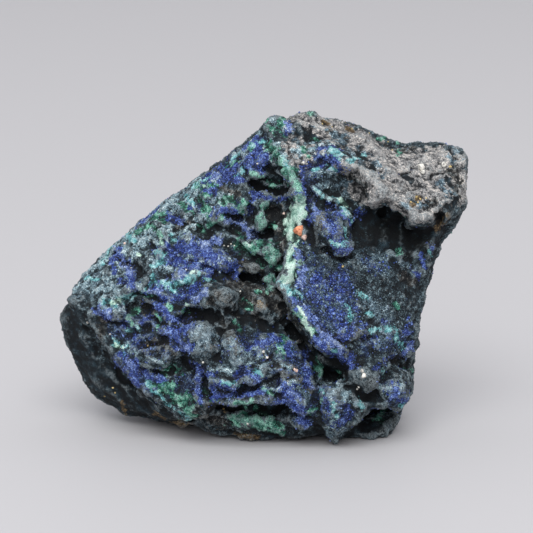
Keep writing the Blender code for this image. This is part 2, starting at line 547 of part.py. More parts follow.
def build_hollow_cutter():
    """Every hollow as an uneven ellipsoid, fused into one cutter."""
    bm = bmesh.new()
    for hollows in HOLLOWS.values():
        for x, y, z, half_x, half_y, half_z, roll in hollows:
            centre = Vector((x, y, z))
            place = Matrix.Translation(centre * MM) @ Matrix.Rotation(math.radians(roll), 4, "Y")
            ball = bmesh.ops.create_icosphere(bm, subdivisions=3, radius=1.0)
            for vert in ball["verts"]:
                uneven = vert.co + noise.noise_vector(vert.co * HOLLOW_WAVES + centre) * HOLLOW_UNEVEN
                vert.co = place @ (uneven * Vector((half_x, half_y, half_z)) * MM)
    cutter = new_object("hollow_cutter", bm)
    cutter.hide_render = True
    cutter.display_type = "WIRE"
    fuse(cutter, CUTTER_VOXEL)
    return cutter


def cut_hollows(obj):
    cutter = build_hollow_cutter()
    cut = obj.modifiers.new("hollows", "BOOLEAN")
    cut.operation = "DIFFERENCE"
    cut.object = cutter
    apply_modifiers(obj)
    bpy.data.objects.remove(cutter)


def front_point(tree, x, z):
    """The point of the show face straight behind (x, z)."""
    start = Vector((x, -DEPTH, z)) * MM
    return tree.ray_cast(start, Vector((0, 1, 0)))[0] or Vector((x, 0, z)) * MM


def distance_to_path(points, path):
    """The distance from each point to the nearest segment of a path."""
    nearest = np.full(len(points), np.inf)
    for start, end in zip(path, path[1:]):
        along = end - start
        share = np.clip((points - start) @ along / (along @ along), 0.0, 1.0)
        away = points - start - share[:, None] * along
        nearest = np.minimum(nearest, np.linalg.norm(away, axis=1))
    return nearest


def stroke_heights(obj, points):
    """How far the ridges and dishes lift each point of the skin."""
    tree = BVHTree.FromObject(obj, bpy.context.evaluated_depsgraph_get())
    lift = np.zeros(len(points))
    for table, sign in ((RIDGES, 1.0), (PRESSES, -1.0)):
        for height, half_width, marks in table.values():
            path = [np.array(front_point(tree, x, z)) for x, z in marks]
            near = np.clip(distance_to_path(points, path) / (half_width * MM), 0.0, 1.0)
            lift += sign * RELIEF * height * MM * (1.0 - near**2) ** 2
    return lift


def roughness_at(point):
    """Blends the roughness of the named places by how close the point is to each."""
    total = PLAIN_ROUGHNESS * PLAIN_WEIGHT
    weight = PLAIN_WEIGHT
    for x, y, z, radius, rough in ROUGHNESS.values():
        share = max(0.0, 1.0 - ((point - Vector((x, y, z))).length / radius) ** 2) ** 2
        total += share * rough
        weight += share
    return total / weight


def rough_height(co):
    """Height of the natural skin over the smooth one, in metres."""
    point = co / MM
    swell = noise.fractal(point / SWELL_SIZE, 0.9, 2.0, 2)
    knobs = 0.5 - noise.voronoi(point / KNOB_SIZE)[0][0]
    ledges = 0.5 - 2.0 * abs(noise.noise(point / LEDGE_SIZE + Vector(LEDGE_OFFSET)))
    rough = knobs * KNOB_HEIGHT + ledges * LEDGE_HEIGHT
    return (swell * SWELL_HEIGHT + rough * roughness_at(point)) * MM


def sculpt(obj):
    """Raises the ridges, presses the dishes in and roughens the whole skin."""
    verts = obj.data.vertices
    points = np.array([vert.co[:] for vert in verts])
    normals = [vert.normal.copy() for vert in verts]
    lift = stroke_heights(obj, points)
    for vert, normal, stroke in zip(verts, normals, lift):
        vert.co += normal * (float(stroke) + rough_height(vert.co))
    obj.data.update()


def thin_out(obj):
    """Collapses the skin to its triangle budget, keeping most faces where it bends and on the show face."""
    group = obj.vertex_groups.new(name="thinning")
    for vert in obj.data.vertices:
        share = BACK_SHARE if vert.co.y > BACK_STARTS * MM else SHOW_SHARE
        group.add([vert.index], share, "REPLACE")
    obj.data.calc_loop_triangles()
    thin = obj.modifiers.new("thin", "DECIMATE")
    thin.ratio = TRIANGLES / len(obj.data.loop_triangles)
    thin.use_collapse_triangulate = True
    thin.vertex_group = group.name
    apply_modifiers(obj)
    obj.vertex_groups.clear()


def wear_base(obj):
    """Wears the lowest points flat, so that the specimen stands on a real face."""
    bm = bmesh.new()
    bm.from_mesh(obj.data)
    level = min(vert.co.z for vert in bm.verts) + BASE_CUT * MM
    cut = bmesh.ops.bisect_plane(
        bm,
        geom=bm.verts[:] + bm.edges[:] + bm.faces[:],
        plane_co=(0, 0, level),
        plane_no=(0, 0, -1),
        clear_outer=True,
        dist=1e-6,
    )
    rims = [item for item in cut["geom_cut"] if isinstance(item, bmesh.types.BMEdge)]
    bmesh.ops.triangle_fill(bm, edges=rims, use_dissolve=False, normal=(0, 0, -1))
    bmesh.ops.recalc_face_normals(bm, faces=bm.faces)
    put_back(bm, obj)


def fit_to_size(obj):
    """Scales the specimen to its driving dimensions, with the origin at the middle of its base."""
    points = np.array([vert.co[:] for vert in obj.data.vertices])
    low, high = points.min(axis=0), points.max(axis=0)
    scale = np.array([WIDTH, DEPTH, HEIGHT]) * MM / (high - low)
    foot = np.array([(low[0] + high[0]) / 2, (low[1] + high[1]) / 2, low[2]])
    for vert, point in zip(obj.data.vertices, (points - foot) * scale):
        vert.co = point
    obj.data.update()


def finish_surface(obj):
    """Gives the skin its colour and rounds the shading over its smaller facets."""
    material = bpy.data.materials.new("azurite_and_malachite")
    material.use_nodes = True
    shader = material.node_tree.nodes["Principled BSDF"]
    shader.inputs["Base Color"].default_value = STONE_COLOUR
    shader.inputs["Roughness"].default_value = STONE_ROUGHNESS
    shader.inputs["Metallic"].default_value = 0.0
    obj.data.materials.append(material)
    obj.data.shade_smooth()
    obj.data.set_sharp_from_angle(angle=math.radians(SHARP_ANGLE))


def main():
    clear_scene()
    specimen = build_masses()
    fuse(specimen, FUSE_VOXEL)
    add_lumps(specimen)
    fuse(specimen, FUSE_VOXEL)
    cut_hollows(specimen)
    fuse(specimen, FINISH_VOXEL)
    sculpt(specimen)
    fuse(specimen, FINISH_VOXEL)
    keep_outer_skin(specimen)
    thin_out(specimen)
    wear_base(specimen)
    fit_to_size(specimen)
    finish_surface(specimen)


main()
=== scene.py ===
"""Azurite specimen: azurite druse and malachite crust on a dark spongy matrix, with a grey weathered cap.

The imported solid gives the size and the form. Over it lies one fine skin, which has the small folds, knots
and pits of broken, overgrown stone, and on that skin grow the crystals, one mesh for each kind of crust.

Sizes are in millimetres unless a name says otherwise; +X runs to the right along the show face, +Y away
from whoever looks at it, and +Z up.
"""

import itertools
import math

import bmesh
import bpy
import numpy as np
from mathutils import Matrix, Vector
from mathutils.bvhtree import BVHTree


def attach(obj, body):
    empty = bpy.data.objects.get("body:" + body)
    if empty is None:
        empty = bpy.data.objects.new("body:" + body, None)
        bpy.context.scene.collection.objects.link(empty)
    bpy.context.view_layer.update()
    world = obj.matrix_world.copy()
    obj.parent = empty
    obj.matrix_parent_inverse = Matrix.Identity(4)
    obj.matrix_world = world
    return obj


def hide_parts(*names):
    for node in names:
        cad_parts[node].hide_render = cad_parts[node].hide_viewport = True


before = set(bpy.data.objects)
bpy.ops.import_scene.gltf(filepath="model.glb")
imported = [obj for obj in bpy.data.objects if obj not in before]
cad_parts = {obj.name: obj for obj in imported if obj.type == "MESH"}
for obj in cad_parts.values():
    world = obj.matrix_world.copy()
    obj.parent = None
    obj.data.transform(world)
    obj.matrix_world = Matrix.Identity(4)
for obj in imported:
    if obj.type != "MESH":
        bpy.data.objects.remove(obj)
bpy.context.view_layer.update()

MM = 0.001
NODE = "azurite_specimen"
BODY = "root"

# The view of the show face: where it looks, from how high, how far off, and how much it takes in.
VIEW_CENTRE = np.array([0.9, -0.1, 30.1])
VIEW_RISE = math.radians(12.0)
VIEW_DISTANCE = 480.0
VIEW_WIDTH = 97.54
SENSOR = 36.0
VIEW_RIGHT = np.array([1.0, 0.0, 0.0])
VIEW_UP = np.array([0.0, math.sin(VIEW_RISE), math.cos(VIEW_RISE)])
VIEW_AHEAD = np.array([0.0, math.cos(VIEW_RISE), -math.sin(VIEW_RISE)])
EYE = VIEW_CENTRE - VIEW_DISTANCE * VIEW_AHEAD

# How finely the skin is worked.
FACET_VOXEL = 0.5
SKIN_VOXEL = 0.31
FACET_ROUNDS = 5
SKIN_TRIANGLES = 196000
SHOW_THINNING = 0.3
BACK_THINNING = 0.6
DEPTH_SHARE = 0.35  # how much a step away from the eye counts against a stroke's width

# Small relief over the smooth form: how far apart and how high.
NOISE_GAIN = 1.9
CRAG_SIZE, CRAG_HEIGHT = 3.4, 0.34
KNOB_SIZE, KNOB_HEIGHT = 2.2, 0.52
CRUMB_SIZE, CRUMB_HEIGHT = 1.05, 0.42
GRIT_SIZE, GRIT_HEIGHT = 0.7, 0.12
LAYER_SIZE, LAYER_HEIGHT = 6.0, 0.2
PIT_SPACING, PIT_DEPTH = 2.6, 0.5
PIT_EDGE = (0.72, 0.9)  # how near a grain's middle a pit starts, and reaches its depth
SEEDS = {"crags": 3, "knobs": 11, "layers": 13, "crumbs": 17, "grit": 23, "pits": 29, "uneven": 31,
         "ragged": 40, "carving": 61, "stray": 77, "wild": 200}
CARVE_WANDER = 2.0
STREAK = np.array([0.86, 0.0, -0.51])  # the way the cap is layered
STREAK_SHARE = 0.55
NEAR_STAND, WIDE_STAND = 0.12, 0.35  # rises that count as fully standing out, over 0.5 mm and over 2 mm
NEAR_ROUNDS, WIDE_ROUNDS = 6, 30  # rounds of smoothing that take in 0.5 mm and 2 mm
TURNED_AWAY = (0.02, 0.4)  # where the stone starts to turn out of sight, and where it is wholly out of it
COVER_EDGE = (0.3, 0.7)  # cover at which a mineral starts to shape the stone, and shapes it fully

# How far the three kinds of strokes reach and how they fade, in half widths.
PAINT_REACH, RELIEF_REACH = 2.0, 1.6
RELIEF_EDGE, MOULD_EDGE = (1.5, 0.2), (1.3, 0.6)

# How craggy, knobbly, pitted and gritty the stone is where one thing covers it, against 1.
CRAGGY = {"navy": 0.5, "cap": 0.25, "slate": 0.45, "soot_and_painted_shade": 0.3, "brown": 1.0, "verdigris": 0.8,
          "azurite": 0.7, "mint": 0.4, "plate_face": 0.15}
KNOBBLY = {"navy": 0.4, "cap": 0.06, "slate": 0.3, "soot_and_painted_shade": 0.1, "brown": 1.1, "verdigris": 1.0,
           "malachite": 1.1, "azurite": 0.8, "turquoise": 0.9, "mint": 0.55, "plate_face": 0.06}
PITTED = {"cap": 0.25, "brown": 1.0, "soot_and_painted_shade": 0.05, "malachite": 0.2, "mint": 0.1, "plate_face": 0.0}
GRITTY = {"mint": 1.5, "malachite": 1.3, "cap": 1.7, "plate_face": 1.2, "soot_and_painted_shade": 0.6}

# Edges of a patch wander by this share of its cover, over this distance.
RAGGED_SIZE, RAGGED_SHARE = 1.3, 0.36
# How fully a mineral takes the middle of its patches, against 1.
FULLNESS = {"cap": 1.3, "azurite": 0.8, "lilac": 0.95, "turquoise": 0.78, "slate": 0.72, "verdigris": 0.75,
            "malachite": 0.85}

# Minerals that also grow where no one looks: the size of their patches, and how scarce they are.
WILD = {
    "navy": (12.0, 0.05), "verdigris": (8.0, 0.3), "azurite": (9.0, 0.19), "malachite": (7.0, 0.24),
    "turquoise": (6.0, 0.46), "lilac": (6.0, 0.42), "brown": (8.0, 0.25), "cap": (16.0, 0.2),
    "slate": (9.0, 0.18), "soot_and_painted_shade": (14.0, 0.3),
}

# Dark, middle and pale grains of each mineral, from the lowest layer to the uppermost. The soot layer is
# partly painted shade under overhangs, in recesses and along the foot; the hollow layer is painted shade in
# the recess under the cap and in the gorge.
MINERAL_SHADES = {
    "matrix": ((5, 10, 14), (33, 48, 56), (116, 138, 147)),
    "navy": ((4, 10, 25), (34, 52, 84), (112, 140, 180)),
    "cap": ((44, 46, 49), (146, 146, 146), (218, 211, 203)),
    "brown": ((9, 12, 13), (46, 48, 48), (120, 117, 111)),
    "slate": ((18, 30, 38), (84, 107, 121), (176, 200, 211)),
    "soot_and_painted_shade": ((3, 7, 10), (12, 22, 28), (40, 60, 70)),
    "painted_hollow_shade": ((5, 7, 8), (11, 16, 18), (28, 38, 41)),
    "verdigris": ((34, 52, 62), (134, 163, 175), (224, 243, 245)),
    "rust": ((40, 34, 26), (92, 76, 54), (150, 130, 96)),
    "malachite": ((8, 36, 33), (54, 122, 104), (152, 214, 190)),
    "azurite": ((6, 13, 38), (44, 68, 148), (136, 166, 226)),
    "lilac": ((36, 54, 104), (106, 130, 192), (188, 206, 234)),
    "turquoise": ((34, 84, 92), (110, 178, 184), (200, 232, 232)),
    "mint": ((88, 134, 122), (178, 214, 198), (220, 241, 228)),
}
# Painted shade: the colour that crevices and the gaps between grains are darkened towards.
CREVICE_SHADE_COLOUR = (9, 13, 17)
DUST_COLOUR = (150, 162, 166)
PLATE_THINNING = 0.36  # how much of the azurite the plate lacks
PLATE_SWELL = 0.4  # how much larger the grains are on the plate
GRAIN_CLEARANCE = 0.02  # how far the grains stay above the rest plane
SKIN_GRAIN = 0.23  # how large one grain of the skin's colour is
# Painted shade in the gaps between the skin's grains.
SKIN_GAP_SHADE = 0.75  # how dark the gaps between those grains are
PATCH_GRAIN = 1.4
PATCH_WANDER, PLATE_WANDER = 1.8, 0.9  # how far a patch's edge strays from where it was set
PLATE_STIPPLE = 0.8  # how much the plate's minerals are mixed grain by grain
# How much a mineral is mixed grain by grain with what is under it, against 1.
STIPPLE = {"azurite": 1.0, "lilac": 1.0, "malachite": 0.5, "turquoise": 0.8, "mint": 0.3, "cap": 0.4,
           "soot_and_painted_shade": 0.1}
# How far a mineral makes one solid mass instead of loose grains.
SOLID = {"mint": 0.7, "turquoise": 0.8, "cap": 0.5, "soot_and_painted_shade": 0.6, "malachite": 0.6}
SKIN_DRIFT = 1.7  # over what distance paler and darker clumps come and go
SKIN_SPECK = 0.13
SKIN_BUMP = 0.17
SKIN_STIPPLE, CRUST_STIPPLE = 0.25, 0.3  # how much minerals are mixed grain by grain off the plate
MATRIX_ROUGHNESS, AZURITE_ROUGHNESS, STRAY_ROUGHNESS = 0.85, 0.6, 0.8
SKIN_SPECULAR = 0.3
# What the height (a painted highlight on raised tips, painted shade in dips), the speckle and each single
# grain add to a shade.
TIP_HIGHLIGHT_SHARE, FINE_SHARE, GRAIN_SHARE = 0.4, 0.35, 0.4
SPREAD = 1.6  # how far the shades of neighbouring grains lie apart, against 1
CRUST_SPECK = 0.2
CRUST_SPREAD = 1.1
# Painted shade in the crevices.
CREVICE_SHADE_DEPTH, CRUST_CREVICE_SHADE = 0.85, 0.6  # how dark the crevices get, on the skin and on the grains
CRUST_DUST = 0.15
STRAY_MOTTLE = 0.5

FLOOR_SIZE = 8000.0
FLOOR_COLOUR = (187, 186, 188)
FLOOR_ROUGHNESS = 0.6
SKY_COLOUR = (231, 231, 235)
SKY_STRENGTH = 0.86
# Name, place, what it points at, width and depth, and watts.
LIGHTS = [
    ("overhead_softbox", (-60, -1500, 1800), (0, 0, 20), (2000, 1200), 45.5),
    ("front_softbox", (-150, -1500, 900), (0, 0, 25), (900, 900), 8.0),
]

# Where each mineral shows: one row for each stroke, (half width, then across and up of each point it passes
# through), as the eye sees the show face, measured from the middle of the view.
ZONES = {
    "azurite": [
        # shoulder
        (1.1, -1.6, 21.9, -2.7, 20.2, -3.2, 19.1), (0.9, -0.8, 21, -0.3, 19.3, -1, 17.8),
        (1, -8.1, 16.6, -6.3, 16.2, -4.7, 16), (0.7, -10.5, 16.2, -9.1, 17.3),
        (0.6, -9.8, 14.7, -9.6, 13.5), (0.5, -21.3, 9.2, -20, 10.3), (0.4, -18, 8.5, -17.3, 8.1),
        (0.4, -14.2, 10.9, -13.6, 10.7), (0.6, -9.8, 9.8, -8.1, 10.3, -6.3, 10.2, -5.2, 9.2),
        (0.7, -8.1, 17.3, -5.6, 18.6), (0.9, -11.3, 14, -8.5, 15.5),
        # slot sill and curtain
        (0.4, -3.2, 13.6, -1.6, 13.3, -0.1, 12.5, 1.6, 12.2, 3.4, 12.5, 5, 13.3),
        (0.5, -2.5, 12.7, -2.8, 11.1, -3.2, 9.6),
        # blue shelf
        (1.6, -15.8, 3.4, -13.6, 3.8, -11.3, 2.3, -9.2, 1),
        (1.3, -17.3, 1.6, -14.9, 0.6, -12.5, -0.3, -10, -0.5), (1.1, -8.1, 0.8, -6.7, 0.1, -5.8, -1.6),
        (0.7, -18, 4.1, -17.7, 1.9),
        # wing
        (0.8, -25.9, 0.8, -25, -0.6, -25, -2.5, -24.4, -3.8), (0.6, -26.6, -2.5, -25.3, -3.2),
        (0.5, -28.3, 0.1, -27.7, -1.2), (1, -19.5, -5.6, -17.3, -5.8, -14.9, -5, -12.9, -4.3),
        (0.7, -20.2, -6.7, -18.4, -8.1, -17.3, -10.2, -15.5, -9.8, -14.2, -9.4),
        (0.9, -15.8, -3.9, -13.6, -3.6, -12.4, -3.2), (1.1, -17.7, -12, -15.8, -11.6, -14.4, -10.9),
        (0.6, -31.6, -8.1, -29.9, -8.9, -28.5, -9.4), (0.7, -25.7, -10.9, -24.1, -12.4, -23, -14.4),
        (0.6, -23, -10.2, -21.1, -9.4),
        (0.9, -26.3, -16.2, -24.6, -18, -22.8, -19.5, -21, -20, -19.3, -20.6),
        (0.9, -16.2, -13.5, -15.1, -15.3, -14.2, -14.7), (0.8, -13.5, -17.7, -12, -18.8),
        (0.7, -18, 9.2, -15.8, 8.1), (0.9, -28.3, 0.8, -27.2, 3), (0.5, -22.1, -4.7, -19.9, -3.9),
        (1.1, -27.2, -18, -23.9, -21.1), (0.7, 3.6, -23, 5.4, -25.2),
        # pillars
        (0.7, -12.5, -20.2, -12.4, -22.6, -12.2, -24.6), (0.5, -9.8, -20.2, -9.6, -22.2, -9.8, -23.9),
        (0.5, -12.4, -19.9, -9.2, -19.7),
        # slab
        (0.7, -8.3, -21.5, -6.3, -22.4), (0.7, -9.8, -24.1, -7, -23.5, -3.9, -23.3, -0.8, -22.8),
        (1, -5.2, -19.9, -3, -19.3, -1.6, -20.8),
        (0.8, -3.8, -14.7, -0.8, -13.8, 1.6, -13.1, 3.9, -14.2, 4.5, -16.4),
        (1, 2.7, -21.7, 4.3, -22.6, 3, -23.5), (1, 2.7, -24.8, 4.7, -25.3, 5.9, -26.6),
        (0.7, 6.1, -28.1, 8, -29), (0.8, 6.9, -15.6, 7.6, -19.3, 7.2, -21.9),
        # plate
        (1.2, 8.5, -2.3, 11.6, -2.7, 14.4, -1.9), (1.6, 8.3, -4.5, 10.7, -5.6, 13.6, -5),
        (1.3, 10.9, -7.8, 13.8, -8.9, 12.7, -10.2, 14.9, -10.9),
        (0.7, 5, -5.9, 6.5, -7.8, 8.3, -9.6, 10, -11.4, 11.8, -13.1, 13.8, -13.1, 15.8, -12),
        (1.2, 9.1, -13.6, 10.3, -14.9, 12.2, -15.8, 14, -16.7, 15.3, -17.3),
        (0.8, 17.3, -10.9, 18.2, -12.9), (0.5, 16, -7, 16.7, -8.1), (0.8, 25.9, -9.6, 25.7, -11.8),
        (0.8, 26.4, -14.5, 25.2, -16.4), (0.6, 23, -16.6, 21.5, -17.7, 19.9, -18.6),
        (0.5, 21.5, -10, 22.4, -10.2),
        # rim
        (0.6, 5, 3.6, 5.4, 1.6, 6.5, 0.3, 6.3, -1.7, 5.8, -3.9, 6.3, -5.9),
        (0.5, 6.7, 18.6, 6.5, 16.2, 7, 14, 7.4, 12.5), (0.8, 7.8, 11.1, 9.1, 10, 7.8, 8.5),
        # collar and knob
        (0.8, 11.3, 11.1, 13.8, 9.4, 15.6, 8, 17.1, 9.6), (1.2, 12.2, 7.2, 12.2, 5.2, 13.1, 3.4, 14.5, 3),
        (0.8, 11.8, 8.1, 12.5, 6.3, 14, 3.9),
        # crest
        (1, 10, 18.9, 11.6, 19.9, 12.9, 18.4), (0.8, 9.8, 21.7, 12.7, 21.7), (0.6, 8.1, 18.2, 9.4, 18.4),
        (0.5, 3.9, 26.1, 3.6, 24.2),
        # right flank
        (0.4, 29.7, 4.1, 30.3, 3.2), (0.4, 28.3, 2.3, 28.8, 0.1), (0.6, 26.4, -0.6, 27.7, -1.6),
        (0.3, 18, 2.3, 19.1, 1.4),
        # lobes
        (0.7, 23.3, -21.5, 23.7, -24.1, 25.3, -24.8), (0.6, 14.4, -25.3, 15.5, -26.6, 12.7, -29),
        (0.4, 18.8, -26.8, 20.2, -26.8), (0.7, 10.7, -24.1, 11.3, -26.3),
        # under the plate
        (0.6, 9.4, -13.5, 11.6, -15.6, 14.5, -16.7),
        # upper edge
        (0.7, -11.4, 15.5, -8.1, 18), (0.6, -23.9, 7.8, -22.1, 9.2), (0.5, -3.8, 21.7, -1.9, 23.5),
    ],
    "lilac": [
        # shelf edge
        (1, -11.6, 3.9, -9.2, 4.8), (0.7, -12.9, -6.1, -11.3, -4.7), (0.5, -7.4, 8.5, -5.6, 8.3),
        (0.8, -4.1, 7.6, -2.3, 5.6), (0.7, -26.1, 0.5, -24.8, -0.6), (0.7, -30.7, -7.6, -29, -8.1),
        (0.8, -15.8, -14.4, -14.4, -14.7), (0.5, 5.8, 3, 5.8, 1.2, 6.7, 0.1, 6.5, -2.1, 6.1, -4.3),
        (0.4, 10.5, 8.1, 11.6, 7.4), (0.4, 6.5, -6.7, 8.3, -8.9, 10, -10.7),
        (0.5, 10.2, -12.5, 12.4, -13.5), (0.5, 26.1, -14.5, 25.3, -15.6), (0.6, 8.5, 10.9, 9.1, 9.8),
        (0.7, 13.1, 10.3, 14.5, 9.6), (0.5, -25.7, -17.1, -24.2, -18.6), (0.6, 4.3, -23, 6.1, -23.7),
        (0.5, -10, 16.2, -8.9, 16.9), (0.5, 3.4, 26.4, 4.5, 25),
        # wing crest
        (0.7, -19.1, -3.6, -16.2, -2.1, -12.2, -0.6), (0.5, -21.3, -4.7, -19.5, -4.3),
        (0.5, -21.3, -3.2, -18.8, -2.5, -15.8, -1),
        # edge of the plate
        (0.6, 6.3, 2.3, 5.9, -0.6, 5.8, -3.2), (0.5, 5.4, -4.7, 7, -7.6, 8.9, -10.2),
        (0.7, 9.6, -11.8, 11.4, -13.8, 14, -15.5), (0.5, 6.1, -6.1, 8, -9.1, 10.5, -12, 12.7, -13.8),
    ],
    "malachite": [
        # crest and shoulder
        (0.5, 0.1, 27, 0.8, 27.7), (0.9, 1, 24.8, 1.2, 24.6), (0.7, 2.3, 26.4, 3.2, 26.6),
        (0.6, 2.7, 24.6, 3.4, 24.2), (0.7, -2.8, 21.9, -1.2, 23), (0.9, 0.1, 21.7, 1.4, 21.3),
        (0.7, -7.4, 18, -5.6, 18.9), (0.8, -11.8, 14.7, -11.3, 13.3), (0.7, -10.3, 14.9, -9.2, 14.7),
        (0.9, -11.6, 11.8, -10.7, 10.3), (0.7, -8.5, 11.8, -6.3, 12, -5.2, 11.1, -4.8, 9.8),
        (0.5, -4.5, 12, -3.4, 11.3),
        # slot ledges
        (0.5, -2.7, 17.3, -0.8, 16.4, 0.8, 15.6), (0.5, 0.8, 14.7, 2.5, 15.1),
        # rim
        (1, 1.7, 21.3, 2.3, 19.9, 3.4, 18, 4.8, 16.4, 5.9, 14.2, 6.1, 12.2),
        # valley
        (0.7, 0.1, 11.6, -0.8, 10), (1, -1.6, 8.9, -0.8, 7.4), (0.4, 0.8, 7.4, 1.7, 7.2),
        (0.6, -10.9, 7.8, -9.8, 7.6), (0.5, -12.2, 7.4, -11.4, 6.3), (0.5, -5.6, 6.5, -4.1, 5.4),
        (1.2, -4.5, 3.9, -2.7, 3.2, -0.8, 3.6, 1.6, 2.8), (1, 0.3, 1.2, 1.6, 0.5),
        (0.5, -1.7, 0.8, -0.6, 0.1), (1, 0.6, -1.6, 1, -3.4), (0.5, -1.4, -4.5, 0.1, -4.8),
        (0.6, -4.3, -5.8, -2.7, -6.7, -3.2, -7.6), (0.5, -5.8, -10.2, -4.7, -11.6),
        # wing
        (0.7, -20.4, 9.2, -18.8, 9.6), (0.5, -20.4, 6.9, -19.5, 5.6), (0.7, -22.1, -4.8, -20.6, -5.6),
        (0.8, -24.1, -8.1, -25.2, -9.4, -24.8, -11.1), (0.4, -20.4, -8.5, -19.5, -10, -20.2, -11.1),
        (0.5, -18, -6.9, -17.7, -8), (0.5, -15.1, -8.3, -14, -8.5),
        (0.8, -18.8, -19.5, -17.3, -18.2, -16.2, -19.1),
        (1.3, -19.9, -21.7, -17.5, -23, -15.5, -24.2, -13.8, -25), (0.9, -14.7, -26.6, -13.6, -27.2),
        (0.9, -12.7, 15.1, -10.9, 13.3), (0.7, -21, 9.1, -18.4, 8.3), (0.7, -23.5, 6.3, -21.3, 7.4),
        (0.7, -15.5, 11.3, -13.6, 10), (0.5, -9.6, 8.1, -7.8, 9.2),
        # slab
        (0.6, -9.8, -23.9, -8.9, -24.2), (0.5, -11.6, -22.6, -10.7, -23.3), (0.7, -0.5, -22.8, 1.6, -23.5),
        (1.1, 2.8, -13.6, 3.4, -15.5),
        # heel
        (1.5, -5.4, -28.3, -3.6, -27.9, -1.6, -28.8), (1, 0.3, -28.8, 2.3, -29.6),
        (0.7, -2.8, -24.8, -1.6, -26.1), (0.5, -5.8, -25, -4.1, -25.2), (0.6, -0.5, -26.8, 1.2, -27.4),
        (0.9, -5.6, -28.5, -3, -27.7, -0.8, -28.8), (0.7, -0.1, -29.9, 2.8, -30.3),
        (0.7, 20, -27.7, 21.5, -26.6),
        # plate and cap
        (0.7, 5.4, -8.5, 6.9, -10.2, 8.3, -11.6, 9.1, -12.5), (0.5, 6.7, 21.7, 7.6, 20),
        (0.4, 8.1, 23.3, 9.4, 23.1), (0.5, 23.9, 22.8, 24.2, 20.6), (0.5, 7.8, 28.1, 8.7, 28.1),
        (0.4, 20.4, 23.5, 21.5, 23.5), (0.4, 23.5, -6.7, 23.9, -7.4), (0.5, 25.2, -18.8, 26.3, -18.8),
        (0.7, 9.2, -17.5, 10.2, -19.5), (0.5, 12.9, -19.1, 13.6, -20.6),
        (0.5, 10.2, -24.4, 9.2, -25.9, 8, -27), (0.6, 20.4, -27.2, 21.1, -28.3), (0.6, 23.9, 2.5, 24.6, 3),
    ],
    "turquoise": [
        # wing
        (0.8, -20.2, 2.7, -18.9, 2.1, -19.5, 0.8, -20.8, -0.1),
        (0.5, -20.8, -0.6, -20.6, -2.5, -21.5, -3.4), (0.5, -17.7, 6.1, -16.9, 4.7),
        (0.5, -24.2, -5, -22.2, -3.8, -20.2, -2.7), (0.7, -30.1, -6.3, -28.3, -6.7, -26.6, -6.1, -24.4, -5),
        (1, -14.4, -1.9, -12.7, -1.2, -15.1, -3, -16.9, -3.9), (0.7, -18.9, -2.7, -17.3, -3.4),
        (0.5, -11.4, -2.1, -9.8, -2.5), (0.5, -33, -1.7, -31.2, -2.7), (0.8, -27.5, -14, -25.9, -14.9),
        (0.5, -23.9, -11.3, -25.7, -11.8),
        (0.5, -21.9, -21, -19.9, -23.3, -17.7, -25.2, -15.3, -27, -14, -27.7),
        (0.5, -8, -21.1, -6.5, -21.3, -5, -21.9), (0.5, -2.3, -19.1, -0.8, -19.7),
        (0.5, -14.7, 12.9, -13.3, 11.6), (0.6, -25.7, 6.3, -24.2, 4.7), (0.5, -30.1, 0.8, -29, 2.7),
        (0.5, -5.6, 16.6, -4.3, 17.7), (0.5, -2.7, 22.1, -0.8, 22.8),
        # rim
        (0.6, 5.8, 4.5, 4.7, 3.2, 4.5, 1.2), (1, 3.2, -3, 4.3, -4.3, 5.2, -5.4), (0.5, 2.7, 20.4, 3.8, 18),
        # collar
        (0.5, 8.7, 14.4, 10.2, 12.9), (0.7, 12, 12.5, 13.5, 11.6, 14.7, 10.3), (0.5, 14.9, 9.6, 15.6, 8.3),
        (0.4, 14.2, 7, 14.7, 5.4, 13.8, 3.9), (0.3, 11.8, 4.8, 12.9, 3.8), (0.8, 11.8, 21.3, 14, 20.6),
        (0.5, 13.6, 19.7, 15.6, 19.3, 17.7, 20.4), (0.4, 11.1, 18.6, 12.7, 17.7), (0.4, 8.5, 17.7, 9.4, 18),
        # plate
        (0.5, 19.1, -11.6, 20.6, -11.1, 22.1, -12, 23.3, -11.3, 23.7, -13.1, 24.6, -14.4),
        (0.6, 17.3, -4.8, 18.2, -5.2), (0.4, 17.8, -8.3, 19.1, -8.9),
        (0.4, 14.7, -7, 15.5, -8.5, 15.3, -10.2), (0.4, 29.9, 3.2, 30.3, 1.7),
        (0.4, 21.1, -18.9, 21.3, -20),
        # lobes
        (0.4, 10, -22.6, 11.3, -23.9), (0.4, 12.2, -23.9, 12.4, -25.9, 12.7, -27.5),
        (0.5, 24.4, -25.3, 25.5, -25.9), (0.5, 16.7, -24.1, 17.3, -25.7), (0.4, 12, -15.3, 12.4, -15.5),
        # upper edge
        (0.5, -13.3, 14.7, -10.7, 16.2), (0.4, -7, 19.1, -4.8, 21), (0.5, -29, 3, -27.2, 4.5),
    ],
    # Painted shade: a near-black layer in the recess under the cap and in the gorge.
    "painted_hollow_shade": [
        # recess under the cap
        (1.3, 18.6, 6.3, 22.2, 6.7, 25.9, 5.2, 28.8, 4.1), (0.7, 20.8, 8.1, 21.9, 8.5),
        # gorge
        (0.9, 10.2, -17.1, 12.7, -17.8, 14.7, -19.1), (0.7, 5.4, -11.6, 7.2, -13.8),
    ],
    "navy": [
        # wing
        (2.6, -26.8, -10.7, -21.3, -8.1, -15.1, -6.1), (2.2, -24.6, -14.5, -18.8, -14.4, -15.8, -11.8),
        (1.6, -26.8, -17.5, -23.1, -20.8, -18.6, -23), (1.6, -15.8, -21.7, -11.3, -22.6),
        (1.6, -21.3, -10.7, -17.7, -12.5),
        # blue shelf
        (2.4, -18.6, 2.1, -13.1, 2.1, -7.6, 0.8),
        # slab
        (2.2, -9.4, -23, -3, -23.1, 3.4, -23.7), (2.6, -3, -14.4, 2.5, -16.2, 6.1, -19.9),
